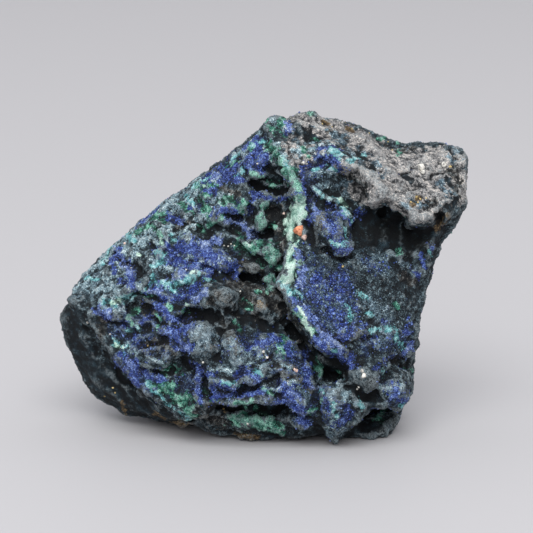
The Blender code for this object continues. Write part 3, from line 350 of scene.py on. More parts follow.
        (1.5, -8.1, -15.6, -4.8, -14.4), (1.5, -5.8, -23.5, -0.8, -23, 3.4, -23),
        (0.9, -12.9, -23, -6.7, -24.1, -0.8, -23.7, 3.9, -23.3),
        # plate
        (2.7, 8.3, -0.6, 9.8, -6.1, 12.5, -11.3), (2.2, 13.5, -2.5, 14.5, -8),
        (1.8, 18.9, -14.5, 24.4, -13.5), (1.5, 5.9, -5.8, 9.8, -10.9), (0.9, 15.6, 3, 19.3, -0.3, 23, 0.8),
        # lobes
        (2.4, 9.8, -23.5, 12.5, -26.6), (1.8, 21.7, -21.7, 24.4, -24.4), (1.5, 6.7, -27.7, 9.4, -24.8),
        # shoulder
        (2.2, -7.6, 17.5, -3, 20.2), (1.5, -11.6, 10.9, -5.6, 10.2), (1.5, -0.8, 22.4, -1.9, 18.4),
        # collar and knob
        (1.6, 8.7, 18.9, 8, 12.2), (1.8, 10.5, 9.6, 13.5, 4.7), (1.3, 10.7, 19.5, 14.4, 18.6),
        # valley
        (1.5, -19.5, -6.1, -17.3, -9.1, -14.7, -11.6),
    ],
    "verdigris": [
        # wing
        (2.2, -27.9, 1.4, -23.1, 4.8, -18.6, 7.4), (1.8, -21.3, 9.2, -14.9, 12.2, -9.6, 15.6),
        (1.8, -19.5, 4.8, -14.7, 6.3), (1.6, -12.2, 9.2, -8.5, 12),
        (2, -29.4, -3.3, -27.7, -2.5, -24.1, -3.6), (1.5, -29.7, -6.9, -25, -6.3),
        (1.1, -21.3, 0.8, -17.3, -0.6), (1.2, -33.4, -3.9, -30.5, -3.6, -27.2, -4.7),
        (0.9, -31.9, -6.1, -28.3, -6.9), (0.7, -35.2, -4.5, -32.7, -2.7),
        (0.9, -31.2, -4.7, -28.3, -3.2, -25.7, -2.5),
        # shoulder
        (1.3, -5.6, 20.2, 0.3, 21.3), (1.1, 1.4, 22.1, 2.8, 19.5), (0.9, 0.3, 26.8, 3.4, 25.3),
        # crest
        (1.3, 6.1, 21.1, 10.9, 21.9), (0.9, 9.1, 18.4, 12.5, 16.6),
        # slab
        (1.3, -8.1, -19.1, -2.1, -17.5), (1.1, -0.1, -21.9, 4.7, -21.7), (0.9, -3.9, -15.3, -0.8, -14.2),
        (0.7, -8.1, -15.6, -4.8, -15.3, -0.8, -16.4), (0.5, 2.5, -17.5, 4.7, -19.3),
        # lobes
        (1.3, 10.9, -21.5, 14.5, -23.7), (1.1, 21.5, -22.8, 24.6, -21.5),
        # wing crest
        (0.9, -30.5, 0.1, -29.7, 2.1, -28.3, 3.8, -26.6, 5), (1.1, -25.7, 5.6, -26.1, 3.9),
        # blue shelf
        (1.6, -17.3, 0.8, -12.2, 0.8, -8.5, 0.5), (1.1, -15.8, 3.9, -12.2, 4.8),
        # hood
        (0.5, 9.4, 15.1, 11.6, 14.4), (0.4, 10.9, 16.9, 13.5, 16.2),
        # nose
        (0.8, 11.6, -24.8, 12.5, -27.4, 11.6, -29.9), (0.7, 14.4, -23.7, 16.4, -24.8),
        # ledge
        (0.5, -25, -15.1, -21.3, -17.1, -18.8, -17.8),
        # upper edge
        (1.1, -31.9, -0.3, -30.1, 2.3, -27.2, 5.2, -24.6, 7.4), (0.7, -5.6, 19.9, -3.4, 22.1, -1.6, 23.9),
        (0.9, -34.5, -1.7, -31.9, 1.6, -29.4, 4.1, -26.4, 7, -23.5, 9.6, -20.2, 12.2, -16.6, 14.7, -12.9,
         17.3),
    ],
    "mint": [
        # rim
        (1.4, 6.3, 11.1, 5.4, 9.4, 4.5, 7.6, 4.7, 5.6), (1, 5, 0.8, 4.5, -1, 3.8, -2.5),
        (0.5, 6.9, -10.2, 8.3, -11.8),
        # wing
        (0.3, -23.5, 2.3, -23.3, 2.1), (0.3, -19.5, 5, -19.1, 4.1), (0.4, -13.6, -1, -12.7, -0.8),
        (0.4, -27.5, -14.4, -26.4, -14.7), (0.3, -14.7, -6.9, -14, -7.2), (0.4, -3.9, 4.3, -3.2, 3.9),
        (0.3, -11.8, 15.1, -11.3, 14.7), (0.4, 13.6, 12.5, 14.5, 11.3), (0.4, -28.3, -6.7, -27, -6.3),
        # edge of the plate
        (0.4, 4.5, 4.1, 4.1, 1.9), (0.2, 5.8, -7.2, 7.2, -9.4), (0.3, 5.4, 5.6, 4.7, 3, 3.9, 0.8),
    ],
    "brown": [
        # valley
        (1.5, -9.1, -5.8, -7.4, -7, -6.1, -8.9, -7, -10.2), (1.2, -4.3, 0.1, -2.5, -0.3, -1, -1.2),
        (1.2, -6.3, -3.2, -4.1, -3.2, -1.9, -4.5), (1.6, -4.1, -5.6, -1.7, -6.9, 0.6, -6.1),
        (1.5, 1.6, -5.2, 3, -8, 5.2, -10.7), (1.1, -3.9, -9.4, -1.6, -10.2),
        (0.7, 3, 6.3, 2.7, 3.8, 2.3, 0.8, 2.1, -1.7, 2.5, -3.9), (1.3, 1, 10, 3, 9.2, 2.5, 7.4),
        (0.9, -8.1, 13.6, -6.1, 13.3),
        # heel
        (1.3, -12.2, -27.2, -10, -27.7, -7.8, -28.6), (0.9, -12.9, -26.3, -9.2, -25.3),
        (0.8, -5.6, -30.3, -1.9, -30.8),
        # wing
        (1.2, -22.8, -7.2, -21, -8.3), (1, -21.7, -14.5, -19.1, -13.8, -17.3, -15.3),
        (1.1, -15.3, 7, -12.7, 8.1), (0.9, -15.3, 11.6, -13.6, 12.7), (0.9, -30.5, -12.4, -29.7, -10.2),
        (0.9, -10.7, -14.4, -9.6, -15.6),
        # right flank
        (0.9, 25.2, -1.6, 26.6, -2.8), (0.9, 13.5, -12.7, 16.4, -12.4),
        (0.7, 2.8, -19.7, 5.4, -20.4, 8, -22.6), (0.7, -0.6, -15.6, 1, -17.5, 5, -18.6),
        # collar and knob
        (1, 9.1, 10, 10.2, 7.4),
        # crest
        (1.1, 5.4, 25.3, 8.3, 23.1), (0.9, 11.6, 24.6, 14.2, 23.1),
        # cap
        (0.8, 33.9, 18, 35, 15.8, 34.7, 13.3), (0.7, 28.8, 11.1, 31, 11.8), (0.7, 24.1, 21, 26.3, 21.7),
        (0.7, 15.6, 16.2, 18.2, 14.4),
        # mounds
        (1.1, -8.1, -10.9, -6.3, -13.1, -5.2, -15.3),
    ],
    "cap": [
        (2.2, 6.1, 26.1, 9.4, 25.3, 13.5, 24.2, 17.1, 22.8),
        (2.7, 19.3, 21, 23.5, 19.5, 28.1, 18.6, 33.2, 18.8),
        (2.9, 21.7, 16.2, 26.3, 14.4, 31, 13.6, 33.9, 14.7),
        (1.6, 13.5, 18.6, 15.6, 17.3, 18.2, 15.8, 21.1, 12.9), (1.8, 24.1, 11.6, 27.2, 10, 30.3, 10.3),
        (1.6, 4.7, 25, 7.2, 23.5, 9.4, 22.2), (1.3, 15.3, 14.9, 18, 12.9, 19.7, 11.1),
        (1.5, 4.7, 21.3, 6.9, 19.5, 6.1, 21), (1.5, 34.5, 17.3, 35.8, 15.8, 35, 12.9),
        (0.8, 31.8, 21.3, 33.9, 18.4, 33.6, 15.5),
    ],
    "slate": [
        # mounds
        (2.2, -11.6, -12.7, -11.8, -14.9), (1.6, -6.7, -14.4, -6.3, -16.2),
        (1.3, -8.1, -19.1, -4.8, -17.5, -1.9, -16.6, 0.3, -15.6), (1.1, -0.8, -18.6, 1, -17.1),
        # wing
        (1.6, -19.3, -0.6, -17.3, -0.3), (1.3, -21.7, -17.3, -18.9, -17.5),
        (1.5, -33.8, -3.9, -31.2, -4.7, -29, -3.6), (1.3, -27.4, -3.9, -25, -5.8),
        (1.1, -17.7, 10.9, -15.1, 10), (0.9, 3.2, -21, 6.1, -22.2, 7.2, -24.1),
        (1.1, -10.7, -20, -8.1, -20.2), (1.6, -34.5, -3.6, -31.2, -2.5, -28.3, -3.6),
        (1.3, -36.3, -5, -33.8, -2.5, -30.8, -1.6),
        # plate
        (1.8, 8.3, 3, 12.5, 1.6, 17.1, 2.7, 21.7, 1.6), (1.1, 13.1, 8.1, 10.7, 5.6),
        (1.1, 10.2, -21.7, 12, -23), (1.1, 23, -23, 24.4, -23), (2.4, 8.1, -1.6, 10.7, -6.1, 13.8, -10.9),
        (1.6, 18, -6.1, 21.7, -9.8, 20.8, -14.4),
        # cap
        (1.1, 5.2, 24.4, 9.1, 23.5), (1.1, 16.9, 21, 19.3, 18.9, 21, 16.6), (0.9, 33.9, 21.7, 34.5, 19.5),
        (1.1, 31.8, 15.1, 33.6, 12.9), (0.7, 29.2, 11.3, 25.2, 11.4),
        # hood
        (1.3, 9.4, 16.6, 12, 15.5, 14.5, 14.4), (0.9, 15.3, 21.3, 17.1, 19.5),
        # crest
        (1.1, 11.6, 24.2, 14.5, 23.1),
        # nose
        (0.9, 9.4, -27.7, 11.6, -31, 14.4, -29.9),
        # ledge
        (1, -26.1, -14.4, -23.1, -16.4, -19.9, -17.5),
        # slab
        (1.1, -2.7, -13.8, 0.3, -14.5, 2.5, -16.4),
        # recess under the cap
        (0.7, 24.4, 0.8, 27, -0.3),
        # upper edge
        (1.2, -21.7, 9.6, -18.4, 11.4, -14.7, 13.5), (0.9, -36, -6.1, -34.5, -3.6, -32.7, -1.4),
    ],
    # Painted shade under the wing, in the recesses, under the lip of the cap, along the foot and under the
    # chin, with dark soot patches elsewhere.
    "soot_and_painted_shade": [
        # under the wing
        (2.2, -36, -9.4, -34.5, -14.4, -31.9, -18.6), (2.6, -30.5, -19.9, -26.4, -22.6, -21.3, -25),
        (1.5, -18.6, -26.6, -15.5, -28.8, -12.2, -30.5), (1.5, -32.7, -22.6, -28.6, -24.8, -24.1, -27),
        (2.4, -35.6, -11.6, -33.4, -18, -29.6, -23), (2.2, -30.5, -21.7, -24.1, -25.3, -18.6, -27.7),
        # recess under the cap
        (1.5, 17.3, 7.8, 21.5, 9.6, 24.6, 8.1, 28.8, 6.5), (1.5, 17.5, 4.8, 21.9, 4.1, 26.1, 3.8),
        (1.1, 33, 10.3, 31.8, 8.1, 30.3, 5.6), (0.7, 34.3, 12.2, 33.4, 10),
        (1.1, 9.4, -16.7, 12.5, -17.7, 14.9, -19.1), (0.7, 6.1, -14.5, 7.2, -17.5),
        (0.9, -8.1, -26.1, -3, -26.1, 1.6, -26.3, 4.5, -25.7), (0.9, -14.7, -8.9, -12.2, -9.2, -9.4, -9.4),
        (0.9, -9.2, -1.2, -6.1, -1.6), (0.6, -4.8, -1.9, -0.6, -2.1),
        (0.7, -3, 15.5, -0.8, 14.2, 1.7, 13.3, 4.1, 13.8), (0.7, -25.2, -5.9, -22.1, -5.6, -18.9, -6.3),
        (2.6, 19.3, 8.1, 22.6, 5.8, 28.1, 4.8), (1.1, 29.9, 7.6, 31.2, 5.8), (1.1, 16.4, 5.6, 19.3, 3.4),
        (1.1, 23.3, 0.8, 25.2, 2.3),
        # low recesses
        (1.3, -9.4, -25.3, -4.8, -25.9, 1.6, -25.5), (1.3, 18.6, -29.9, 22.2, -28.8, 24.1, -28.1),
        (0.9, 18, -23.5, 19.3, -25.2), (0.9, 4.8, -10.2, 6.7, -12.5, 8.3, -15.3),
        (0.9, 9.1, -17.5, 11.6, -19.3, 14.4, -19.3), (0.9, 9.4, -28.5, 10.5, -30.7),
        # lip of the cap
        (1.1, 24.1, 8, 26.6, 6.9, 29.6, 5.9, 31.9, 6.7), (0.8, 22.4, 9.2, 24.4, 8.1, 27, 7.2),
        (0.9, 19.7, 9.1, 17.7, 8.1), (0.5, 17.3, 9.4, 19.7, 10.2, 22.2, 10.5, 23.7, 9.6),
        # collar and knob
        (0.8, 7.4, 7.8, 7.8, 4.8, 9.2, 3), (0.5, 10.7, 2.7, 13.5, 1.4, 15.6, 2.3),
        (0.7, 9.1, 11.3, 8.3, 9.6), (0.9, 8.1, 7.4, 9.4, 4.8), (0.7, 10.2, 12.9, 12, 11.8),
        (0.5, 10.2, 5.2, 12, 3.4),
        # foot
        (1, -21, -29, -14, -30.7, -7.4, -31.4, -0.8, -31.4, 6.1, -31.4, 9.4, -31),
        (1.5, 16, -29.9, 19.7, -29.6, 23.3, -29), (0.7, 9.4, -28.1, 9.8, -30.3),
        # crest
        (0.7, 5.8, 25.3, 7.2, 24.2, 8.7, 22.8), (1.2, 5, 25.7, 7.2, 24.2, 9.1, 22.8),
        (0.5, 16.4, 21, 18.2, 19.5, 19.7, 17.7), (0.6, 25.2, 16.6, 26.6, 15.8),
        # chin
        (0.8, 15.6, -18.6, 18.2, -20.8, 20.8, -21.9), (0.9, 15.6, -20, 17.8, -21.9, 20.4, -22.6),
        (0.8, 16.4, -18.2, 18.6, -20.4, 20, -21.1), (0.5, 32.8, 16.2, 33.9, 14.7),
        (0.7, 15.3, -21.5, 18.2, -23), (0.6, 19.3, -15.3, 23, -17.1, 25.2, -15.6),
        (0.7, 16.4, -25.2, 18.2, -27.4, 20.4, -26.3),
        # slab
        (0.6, -11.1, -23.7, -7, -23, -1.6, -23.7), (0.5, -11.1, -24.4, -6.3, -24.1, -0.8, -24.6),
        (0.7, -12.9, -25.9, -7.8, -26.3, -3, -25.9),
        # wing
        (0.9, -19.9, -6.9, -16.6, -9.8, -13.3, -8.7), (0.7, -18.8, -10.9, -14.7, -12),
        # heel
        (0.8, -4.8, -27.7, -2.7, -29.9, 1.7, -28.8), (0.5, 15.6, -23, 18.6, -24.8),
        # valley
        (0.7, -8.1, -7.2, -4.8, -8.3), (0.9, -7.4, -9.4, -3.8, -10.2, -0.8, -10.9),
        (0.5, 3.2, -9.1, 4.7, -10.5),
        # mounds
        (0.5, -9.6, -15.3, -8.5, -17.1), (0.5, -9.2, -10.2, -8.1, -12.7),
        # under the ridge
        (0.6, -16.6, -7.2, -14, -8), (0.5, -21.3, -11.6, -19.1, -13.1), (0.6, -18.8, -23.7, -15.1, -25.9),
    ],
    "rust": [
        # foot of the wing
        (0.9, -16.6, -28.8, -14.4, -29.2), (0.6, -20, -27, -18.9, -27.7), (0.3, -27.4, -26.4, -25.7, -27.2),
        # heel
        (0.6, -5.2, -30.7, -1.6, -31.2), (0.4, -8.1, -25.9, -7.6, -26.4),
        # right flank
        (0.5, 31, 6.9, 32.5, 7.8, 33.6, 8.9),
        # cap
        (0.4, 27.4, 12.2, 28.3, 12.7), (0.4, 10.2, 26.4, 11.1, 26.1), (0.4, 14.7, 25.5, 15.8, 24.6),
        (0.5, -1.7, -6.5, -0.5, -7.2), (0.4, 26.4, 11.4, 26.8, 11.3),
        # recess under the cap
        (0.4, 31.4, 8.1, 33.2, 9.6),
    ],
    "plate_face": [
        (2.9, 8.3, 2.1, 12.5, 0.8, 17.1, 1.6, 21.7, -0.3), (2.7, 8.3, -4.3, 11.6, -6.1, 14.4, -8.9),
        (2.6, 16.2, -3.4, 19.9, -6.1, 23, -7), (1.6, 6.1, -3.4, 7.2, -6.1, 9.4, -9.4),
        (1.5, 17.5, -13.5, 21.7, -14.4, 23.5, -15.3),
    ],
}


# Hollows whose floor is set to a depth past the middle of the view:
# (half width, then across, up and depth of the start and of the end of each stroke).
MOULDS = [
    # recess under the cap
    (1.5, 16.7, 8.4, -10, 16.4, 3.6, -13), (1.6, 18.9, 9.1, -9, 18.2, 2.7, -12.8),
    (1.6, 21.6, 9.9, -8, 21.3, 2.3, -12.6), (1.6, 24.1, 8.9, -7.6, 24.4, 2.3, -12.2),
    (1.6, 27.4, 6.7, -7.6, 27.2, 2.7, -11), (1.3, 29.9, 6.7, -8, 29.6, 3.8, -10),
    (0.9, 31.6, 9.2, -9, 31.2, 6.3, -9),
    # gorge
    (0.9, 9.8, -16.4, -12, 12.4, -18.2, -12), (0.9, 12.4, -16.7, -11.5, 14.5, -19.7, -12),
    (0.6, 8.5, -15.1, -13, 7, -13.5, -13),
]
MOULD_FRONT, MOULD_BACK = 14.0, 9.5  # how far in front of and behind that depth the stone is reshaped

# Ledges and lumps raised on the show face, and hollows sunk in it: (half width, height, points as above).
RELIEF = [
    # crest and shoulder
    (0.9, 0.5, 0.3, 24.8, 1, 24.4), (0.4, -0.6, 0.6, 24.8, 0.8, 24.4), (0.5, -0.8, 3.8, 22.8, 4.5, 22.1),
    (1.3, -0.9, 4.7, 24.2, 7, 24.6, 9.1, 23.5), (1.1, 0.7, 2.3, 21.3, 3.4, 19.1),
    (0.6, -0.9, -4.3, 18, -3.6, 15.6), (0.5, -0.8, -5.6, 21.3, -4.8, 19.9),
    # slot
    (0.8, -2.4, -3.2, 15.6, -1.2, 14.4, 1.6, 13.5, 4.1, 14), (0.7, -1.1, -0.8, 15.8, 1.2, 15.8, 3.4, 15.6),
    (0.5, -0.9, -0.5, 17.7, 2.1, 17.7), (0.5, 0.6, -3.2, 17.5, -0.8, 16.7),
    (0.4, 0.6, 0.1, 15.1, 2.5, 14.7), (0.4, 0.7, -3, 12.7, -0.8, 12.9, 1.7, 12.4, 4.8, 13.3),
    # rim
    (0.9, 0.9, 3.2, 18.9, 4.7, 16.7, 5.9, 14.9, 5.8, 12.5), (1.5, 0.8, 6.7, 10.7, 5.6, 8.9, 4.5, 6.5),
    (0.9, 0.9, 5.4, 3, 4.8, 0.5, 3.8, -1.7, 3, -3.6),
    (0.5, 0.5, 5, -5.8, 6.1, -7.8, 8.1, -10.3, 10.2, -12.9, 13.1, -14.7, 15.5, -14.4),
    # valley
    (0.7, 0.8, -7.4, 11.8, -5.6, 10.7), (0.7, -1, -7.4, 9.4, -4.7, 8.7), (0.9, -0.9, -8.9, 6.9, -5.6, 6.5),
    (0.7, 0.9, -0.1, 12.2, -0.5, 10), (1.1, 1.1, -1.4, 8.7, -0.8, 7.2), (0.7, -1.1, -3, 10.7, -2.8, 8.1),
    (1.1, -1.1, 1.9, 10.3, 1.6, 8.1, 0.6, 6.1), (0.7, 0.8, -4.3, 4.3, -3.4, 3.6),
    (1.3, 1, 0.3, 2.8, 1.6, 1.4), (0.7, -1.1, -2.8, 1.7, -0.6, 0.8), (1.1, -2, -9.2, -1.2, -6.1, -1.6),
    (0.7, -1.3, -4.8, -1.9, -0.6, -2.1), (0.9, 1.1, 0.6, -2.1, 1, -3.8), (0.9, 0.8, -4.5, 0.1, -2.3, -0.3),
    (0.5, -1.3, 2.1, -1.7, 2.5, -4.7, 3.4, -7.6), (0.4, 0.6, 3.2, 4.1, 3, 1.4, 2.5, -1.2),
    (1.6, 0.9, -10, -4.5, -7.4, -5.9), (1.1, 0.9, -2.5, -5.9, -0.6, -7.2),
    (0.7, 0.7, -9.6, -8.7, -8.3, -9.2), (0.9, -1.1, -6.9, -8.1, -3.8, -9.4, -0.6, -10.3),
    (0.9, -1.1, 3.2, -9.1, 4.7, -11.8, 6.1, -14.5),
    # blue shelf
    (0.9, 1, -11.4, 3, -8.5, 1.7, -5.9, 0.5), (0.7, -1.2, -11.6, -0.3, -8.7, -0.1),
    (1.6, 0.8, -15.5, -1.9, -13.5, -1),
    # wing
    (0.9, -1.1, -24.6, 0.1, -23.1, -1.2), (1, -1.5, -25.2, -5.9, -22.1, -5.4, -18.9, -6.3),
    (1.1, -1.3, -24.6, -8, -21.5, -7.8), (0.7, -0.8, -28.6, -10.2, -26.1, -11.1),
    (0.9, -0.9, -25, -12.2, -21.9, -11.6), (0.7, -0.9, -21.3, -9.6, -18.6, -10.3),
    (0.7, 0.6, -31.9, -8.9, -29.6, -8.1, -27, -9.2), (0.7, 0.7, -25, -9.4, -23.5, -8.1),
    (0.5, 0.6, -18.9, -5.9, -18.8, -7.2), (0.6, 0.7, -29.9, -5.8, -27.2, -5, -24.2, -3.9, -21.3, -2.7),
    (0.6, -0.8, -21.7, 4.3, -19.5, 3.6), (0.7, -0.8, -28.3, 2.3, -26.1, 0.8),
    (0.6, -0.8, -14.7, 7.4, -12.4, 6.5), (0.7, 0.7, -19.5, 6.3, -18.4, 4.3, -19.5, 2.3),
    (0.9, -0.9, -21.7, -14, -18.9, -13.5), (0.9, 0.8, -23.9, -15.5, -21.3, -16.7, -18.2, -17.5),
    (0.5, -0.8, -23.1, -18.8, -19.9, -19.5, -17.1, -19.3), (0.7, -0.9, -14.9, -17.3, -13.5, -18.8),
    (1.1, -1.1, -32.7, -11.3, -30.7, -15.3, -27.9, -18.8, -24.6, -21.9, -21, -25),
    # mounds
    (1.3, -2, -14.7, -8.9, -12.2, -9.2, -9.4, -9.4), (2.7, 1.5, -12.4, -12.9, -11.1, -14.2),
    (1.8, 0.8, -6.9, -13.5, -6.1, -15.3), (1.5, 0.7, -8.1, -18.9, -5, -17.5, -1.9, -16.2),
    # pillars
    (0.7, -1.2, -11.4, -20.6, -11.4, -23.1), (0.5, 0.6, -12.5, -20.4, -12.5, -24.4),
    (0.5, 0.6, -9.8, -19.9, -9.6, -23.5),
    # slab
    (0.7, 0.8, -9.6, -20.8, -6.3, -21.7, -3, -20.8, -0.1, -18.9),
    (0.7, -0.9, -5.2, -22.8, -0.8, -21.9, 1.7, -20.8), (0.7, -0.9, 0.6, -22.8, 2.1, -24.1),
    (0.9, -1.7, -8.1, -26.1, -3, -26.1, 1.6, -26.3, 4.5, -25.7), (0.9, 0.8, 6.7, -26.8, 8.9, -25.9),
    # heel
    (1.1, 0.9, -5, -28.8, -2.1, -28.3, 0.6, -29.2, 3, -29.9),
    # cap
    (1.3, -0.7, 16.9, 21.1, 19.1, 19.5, 20.8, 17.3),
    (0.7, 0.9, 13.8, 18.9, 17.1, 18, 19.7, 15.8, 21.5, 13.3), (0.5, -1, 24.4, 17.1, 26.1, 17.3),
    (0.4, -0.6, 28.8, 18.4, 29.9, 17.7), (0.7, -0.7, 33.9, 21.7, 34.5, 19.7),
    (0.5, -0.7, 30.3, 16.2, 31.9, 17.3),
    (0.5, 0.6, 33.9, 12.4, 31.9, 11.6, 30.5, 10.2, 28.8, 8.9, 25.3, 10, 22.8, 11.4),
    (0.9, -0.6, 24.4, 14, 27.7, 14.7), (0.7, -1.2, 21, 10.2, 22.2, 11.1),
    # collar and knob
    (0.9, 0.7, 9.4, 19.9, 11.6, 21, 13.6, 19.5), (1.3, -0.4, 9.2, 16.2, 12.7, 15.8),
    (1.1, -0.4, 10.9, 13.5, 15.1, 14.2), (0.5, 0.9, 8.5, 14.4, 11.6, 12.2, 14.2, 10.2, 15.5, 8.7),
    (1.6, 1.7, 9.8, 8.1, 12, 6.3, 13.8, 4.1), (0.9, -1.1, 7.8, 7.4, 8.3, 4.7),
    (0.6, -1, 10.5, 3, 13.3, 1.4, 15.6, 2.1), (0.9, 0.9, 22.6, 1.9, 23.9, 1.9),
    # plate
    (1.1, 0.6, 14.4, -12.4, 16.9, -12), (0.5, -0.7, 17.8, -13.6, 19.7, -12.7),
    (0.9, -1.1, 22.6, -17.5, 25.9, -17.3),
    # lobes
    (1.8, 1.4, 17.1, -19.9, 18.6, -20.8), (0.9, -1.4, 15.5, -22.4, 17.5, -23.9, 20, -23.7),
    (0.5, -1.1, 21.5, -18.4, 21, -20.8, 20.2, -23.3), (1.5, 0.8, 23, -22.2, 25, -23.5),
    (1.6, 0.7, 10.9, -22.6, 12.4, -24.8),
    # edge of the plate
    (0.4, 0.3, 6.3, 2.3, 5.9, -0.6, 5.6, -3.4, 7, -7.2, 9.1, -10.2),
    (0.5, 0.6, 9.4, -11.3, 11.3, -13.8, 14.2, -15.6),
]


# Loose bits caught in the stone: dark and pale colour, then (across, up, radius) of each as the eye sees it.
STRAY_GRAINS = {
    "white_spar": (
        (132, 130, 126), (222, 220, 212),
        [(6.7, 18.9, 0.33), (28.3, 18.2, 0.62), (28.6, 17.3, 0.44), (32.5, 18.6, 0.51),
         (-0.6, -15.6, 0.26), (0.1, -16.6, 0.29), (-32.7, -10.2, 0.24), (-28.6, -12.4, 0.16),
         (-1.6, 18.8, 0.2), (-14.7, -0.6, 0.18), (-3.4, -28.8, 0.22), (-11.6, -17.5, 0.22),
         (16.6, -22.4, 0.18), (16.9, -22, 0.2), (17.8, -20, 0.45), (17.5, -19.1, 0.3),
         (-7.8, 3.8, 0.16), (-7, 3.7, 0.16), (-6.5, 4.1, 0.15), (-5.9, 3.8, 0.15), (-25.2, 0.3, 0.18),
         (-24.8, -0.3, 0.15), (3.9, -21, 0.16), (-4.8, -4.5, 0.15)],
    ),
    "orange_grain": (
        (168, 96, 68), (232, 160, 124),
        [(6.1, 6.5, 0.95)],
    ),
    "pink_grain": (
        (150, 120, 110), (228, 202, 190),
        [(6.9, 5.3, 0.5), (-25.9, 4.2, 0.24), (5.4, -19.1, 0.37), (5.1, -18.8, 0.24), (3.2, 9.7, 0.2)],
    ),
    "ochre_grain": (
        (104, 88, 56), (206, 184, 128),
        [(27.4, 12.7, 0.27), (28.1, 12.3, 0.24), (27.7, 11.7, 0.2), (26.4, 11.8, 0.18),
         (29.2, 12.5, 0.15), (-21.7, -14.5, 0.18), (14, 0, 0.22), (33.6, 18.2, 0.26),
         (-28.1, -22.2, 0.18), (-27.7, -23.1, 0.16), (-29.6, -23.7, 0.18), (-7.9, -26.1, 0.27),
         (10.2, 26.1, 0.15), (12, 25.5, 0.13), (14.4, 26.4, 0.15), (15.6, 25.2, 0.15),
         (18.8, 24.4, 0.13), (22.2, 22.8, 0.16), (23, 21.3, 0.13)],
    ),
}


# ---------------------------------------------------------------- noise

def lattice_hash(cells, seed):
    """A repeatable whole number of 32 bits for each whole-number cell."""
    mixed = cells[:, 0] * 73856093 ^ cells[:, 1] * 19349663 ^ cells[:, 2] * 83492791 ^ seed * 15485863
    mixed = (mixed ^ (mixed >> 13)) * 1274126177
    mixed = (mixed ^ (mixed >> 15)) * 668265263
    return (mixed ^ (mixed >> 16)) & 0xFFFFFFFF


def lattice_draws(cells, seed):
    """Three repeatable numbers from 0 to 1 for each cell."""
    mixed = lattice_hash(cells, seed)
    return np.stack([(mixed >> shift & 0x3FF) / 1023.0 for shift in (0, 10, 20)], axis=1)


def smooth_noise(points, size, seed):
    """Smooth noise from about -1 to 1 that varies over about one size."""
    scaled = points / size
    low = np.floor(scaled).astype(np.int64)
    part = scaled - low
    ease = part * part * part * (part * (part * 6.0 - 15.0) + 10.0)
    total = np.zeros(len(points))
    for corner in itertools.product((0, 1), repeat=3):
        share = np.prod(np.where(corner, ease, 1.0 - ease), axis=1)
        slope = lattice_draws(low + corner, seed) * 2.0 - 1.0
        total += share * np.sum(slope * (part - corner), axis=1)
    return total * NOISE_GAIN


def rough_noise(points, size, octaves, seed):
    """Noise from about -1 to 1 with finer and finer detail."""
    total = np.zeros(len(points))
    height = 1.0
    for octave in range(octaves):
        total += height * smooth_noise(points, size / 2**octave, seed + octave)
        height *= 0.5
    return total


def crag_noise(points, size, octaves, seed):
    """Sharp-crested noise from about -1 to 1, like broken rock."""
    total = np.zeros(len(points))
    height = 1.0
    for octave in range(octaves):
        total += height * (0.6 - 2.0 * np.abs(smooth_noise(points, size / 2**octave, seed + octave)))
        height *= 0.55
    return total


def grain_noise(points, size, seed):
    """Rounded grains about one size across: 1 at a grain's middle, 0 where two grains meet."""
    scaled = points / size
    low = np.floor(scaled).astype(np.int64)
    nearest = np.full(len(points), np.inf)
    for step in itertools.product((-1, 0, 1), repeat=3):
        cell = low + step
        middle = cell + lattice_draws(cell, seed)
        nearest = np.minimum(nearest, np.linalg.norm(scaled - middle, axis=1))
    return np.clip(1.0 - nearest, 0.0, 1.0)


def warped(points, size, share, seed):
    """Points shifted about by up to a share of a size, so that what is laid over them loses its evenness."""
    shift = [smooth_noise(points, size, seed + axis) for axis in range(3)]
    return points + np.stack(shift, axis=1) * size * share


def ramp(values, low, high):
    """0 below low, 1 above high, eased in between."""
    share = np.clip((values - low) / (high - low), 0.0, 1.0)
    return share * share * (3.0 - 2.0 * share)


# ---------------------------------------------------------------- mesh helpers

def read_rows(items, field, width, kind):
    """One field of a mesh's vertices, edges or triangles as rows of numbers."""
    values = np.empty(len(items) * width, kind)
    items.foreach_get(field, values)
    return values.reshape(-1, width)


def read_points(mesh):
    return read_rows(mesh.vertices, "co", 3, np.float32).astype(float) / MM


def read_normals(mesh):
    return read_rows(mesh.vertex_normals, "vector", 3, np.float32).astype(float)


def read_edges(mesh):
    return read_rows(mesh.edges, "vertices", 2, np.int32)


def read_triangles(mesh):
    mesh.calc_loop_triangles()
    return read_rows(mesh.loop_triangles, "vertices", 3, np.int32)


def write_points(mesh, points):
    mesh.vertices.foreach_set("co", (points * MM).astype(np.float32).ravel())
    mesh.update()


def write_attribute(mesh, name, values):
    layer = mesh.attributes.new(name, "FLOAT", "POINT")
    layer.data.foreach_set("value", values.astype(np.float32))


def new_piece(name, mesh):
    piece = bpy.data.objects.new(name, mesh)
    bpy.context.scene.collection.objects.link(piece)
    return piece


def triangle_mesh(name, points, triangles):
    mesh = bpy.data.meshes.new(name)
    mesh.vertices.add(len(points))
    mesh.loops.add(triangles.size)
    mesh.polygons.add(len(triangles))
    mesh.vertices.foreach_set("co", (points * MM).astype(np.float32).ravel())
    mesh.loops.foreach_set("vertex_index", triangles.astype(np.int32).ravel())
    mesh.polygons.foreach_set("loop_start", np.arange(len(triangles), dtype=np.int32) * 3)
    mesh.update(calc_edges=True)
    return mesh


def apply_modifiers(obj):
    bpy.context.view_layer.update()
    depsgraph = bpy.context.evaluated_depsgraph_get()
    finished = bpy.data.meshes.new_from_object(obj.evaluated_get(depsgraph))
    obj.modifiers.clear()
    obj.data = finished


def fuse(obj, voxel):
    """Rebuilds the skin from even little cells, which joins whatever overlaps."""
    remesh = obj.modifiers.new("fuse", "REMESH")
    remesh.mode = "VOXEL"
    remesh.voxel_size = voxel * MM
    apply_modifiers(obj)


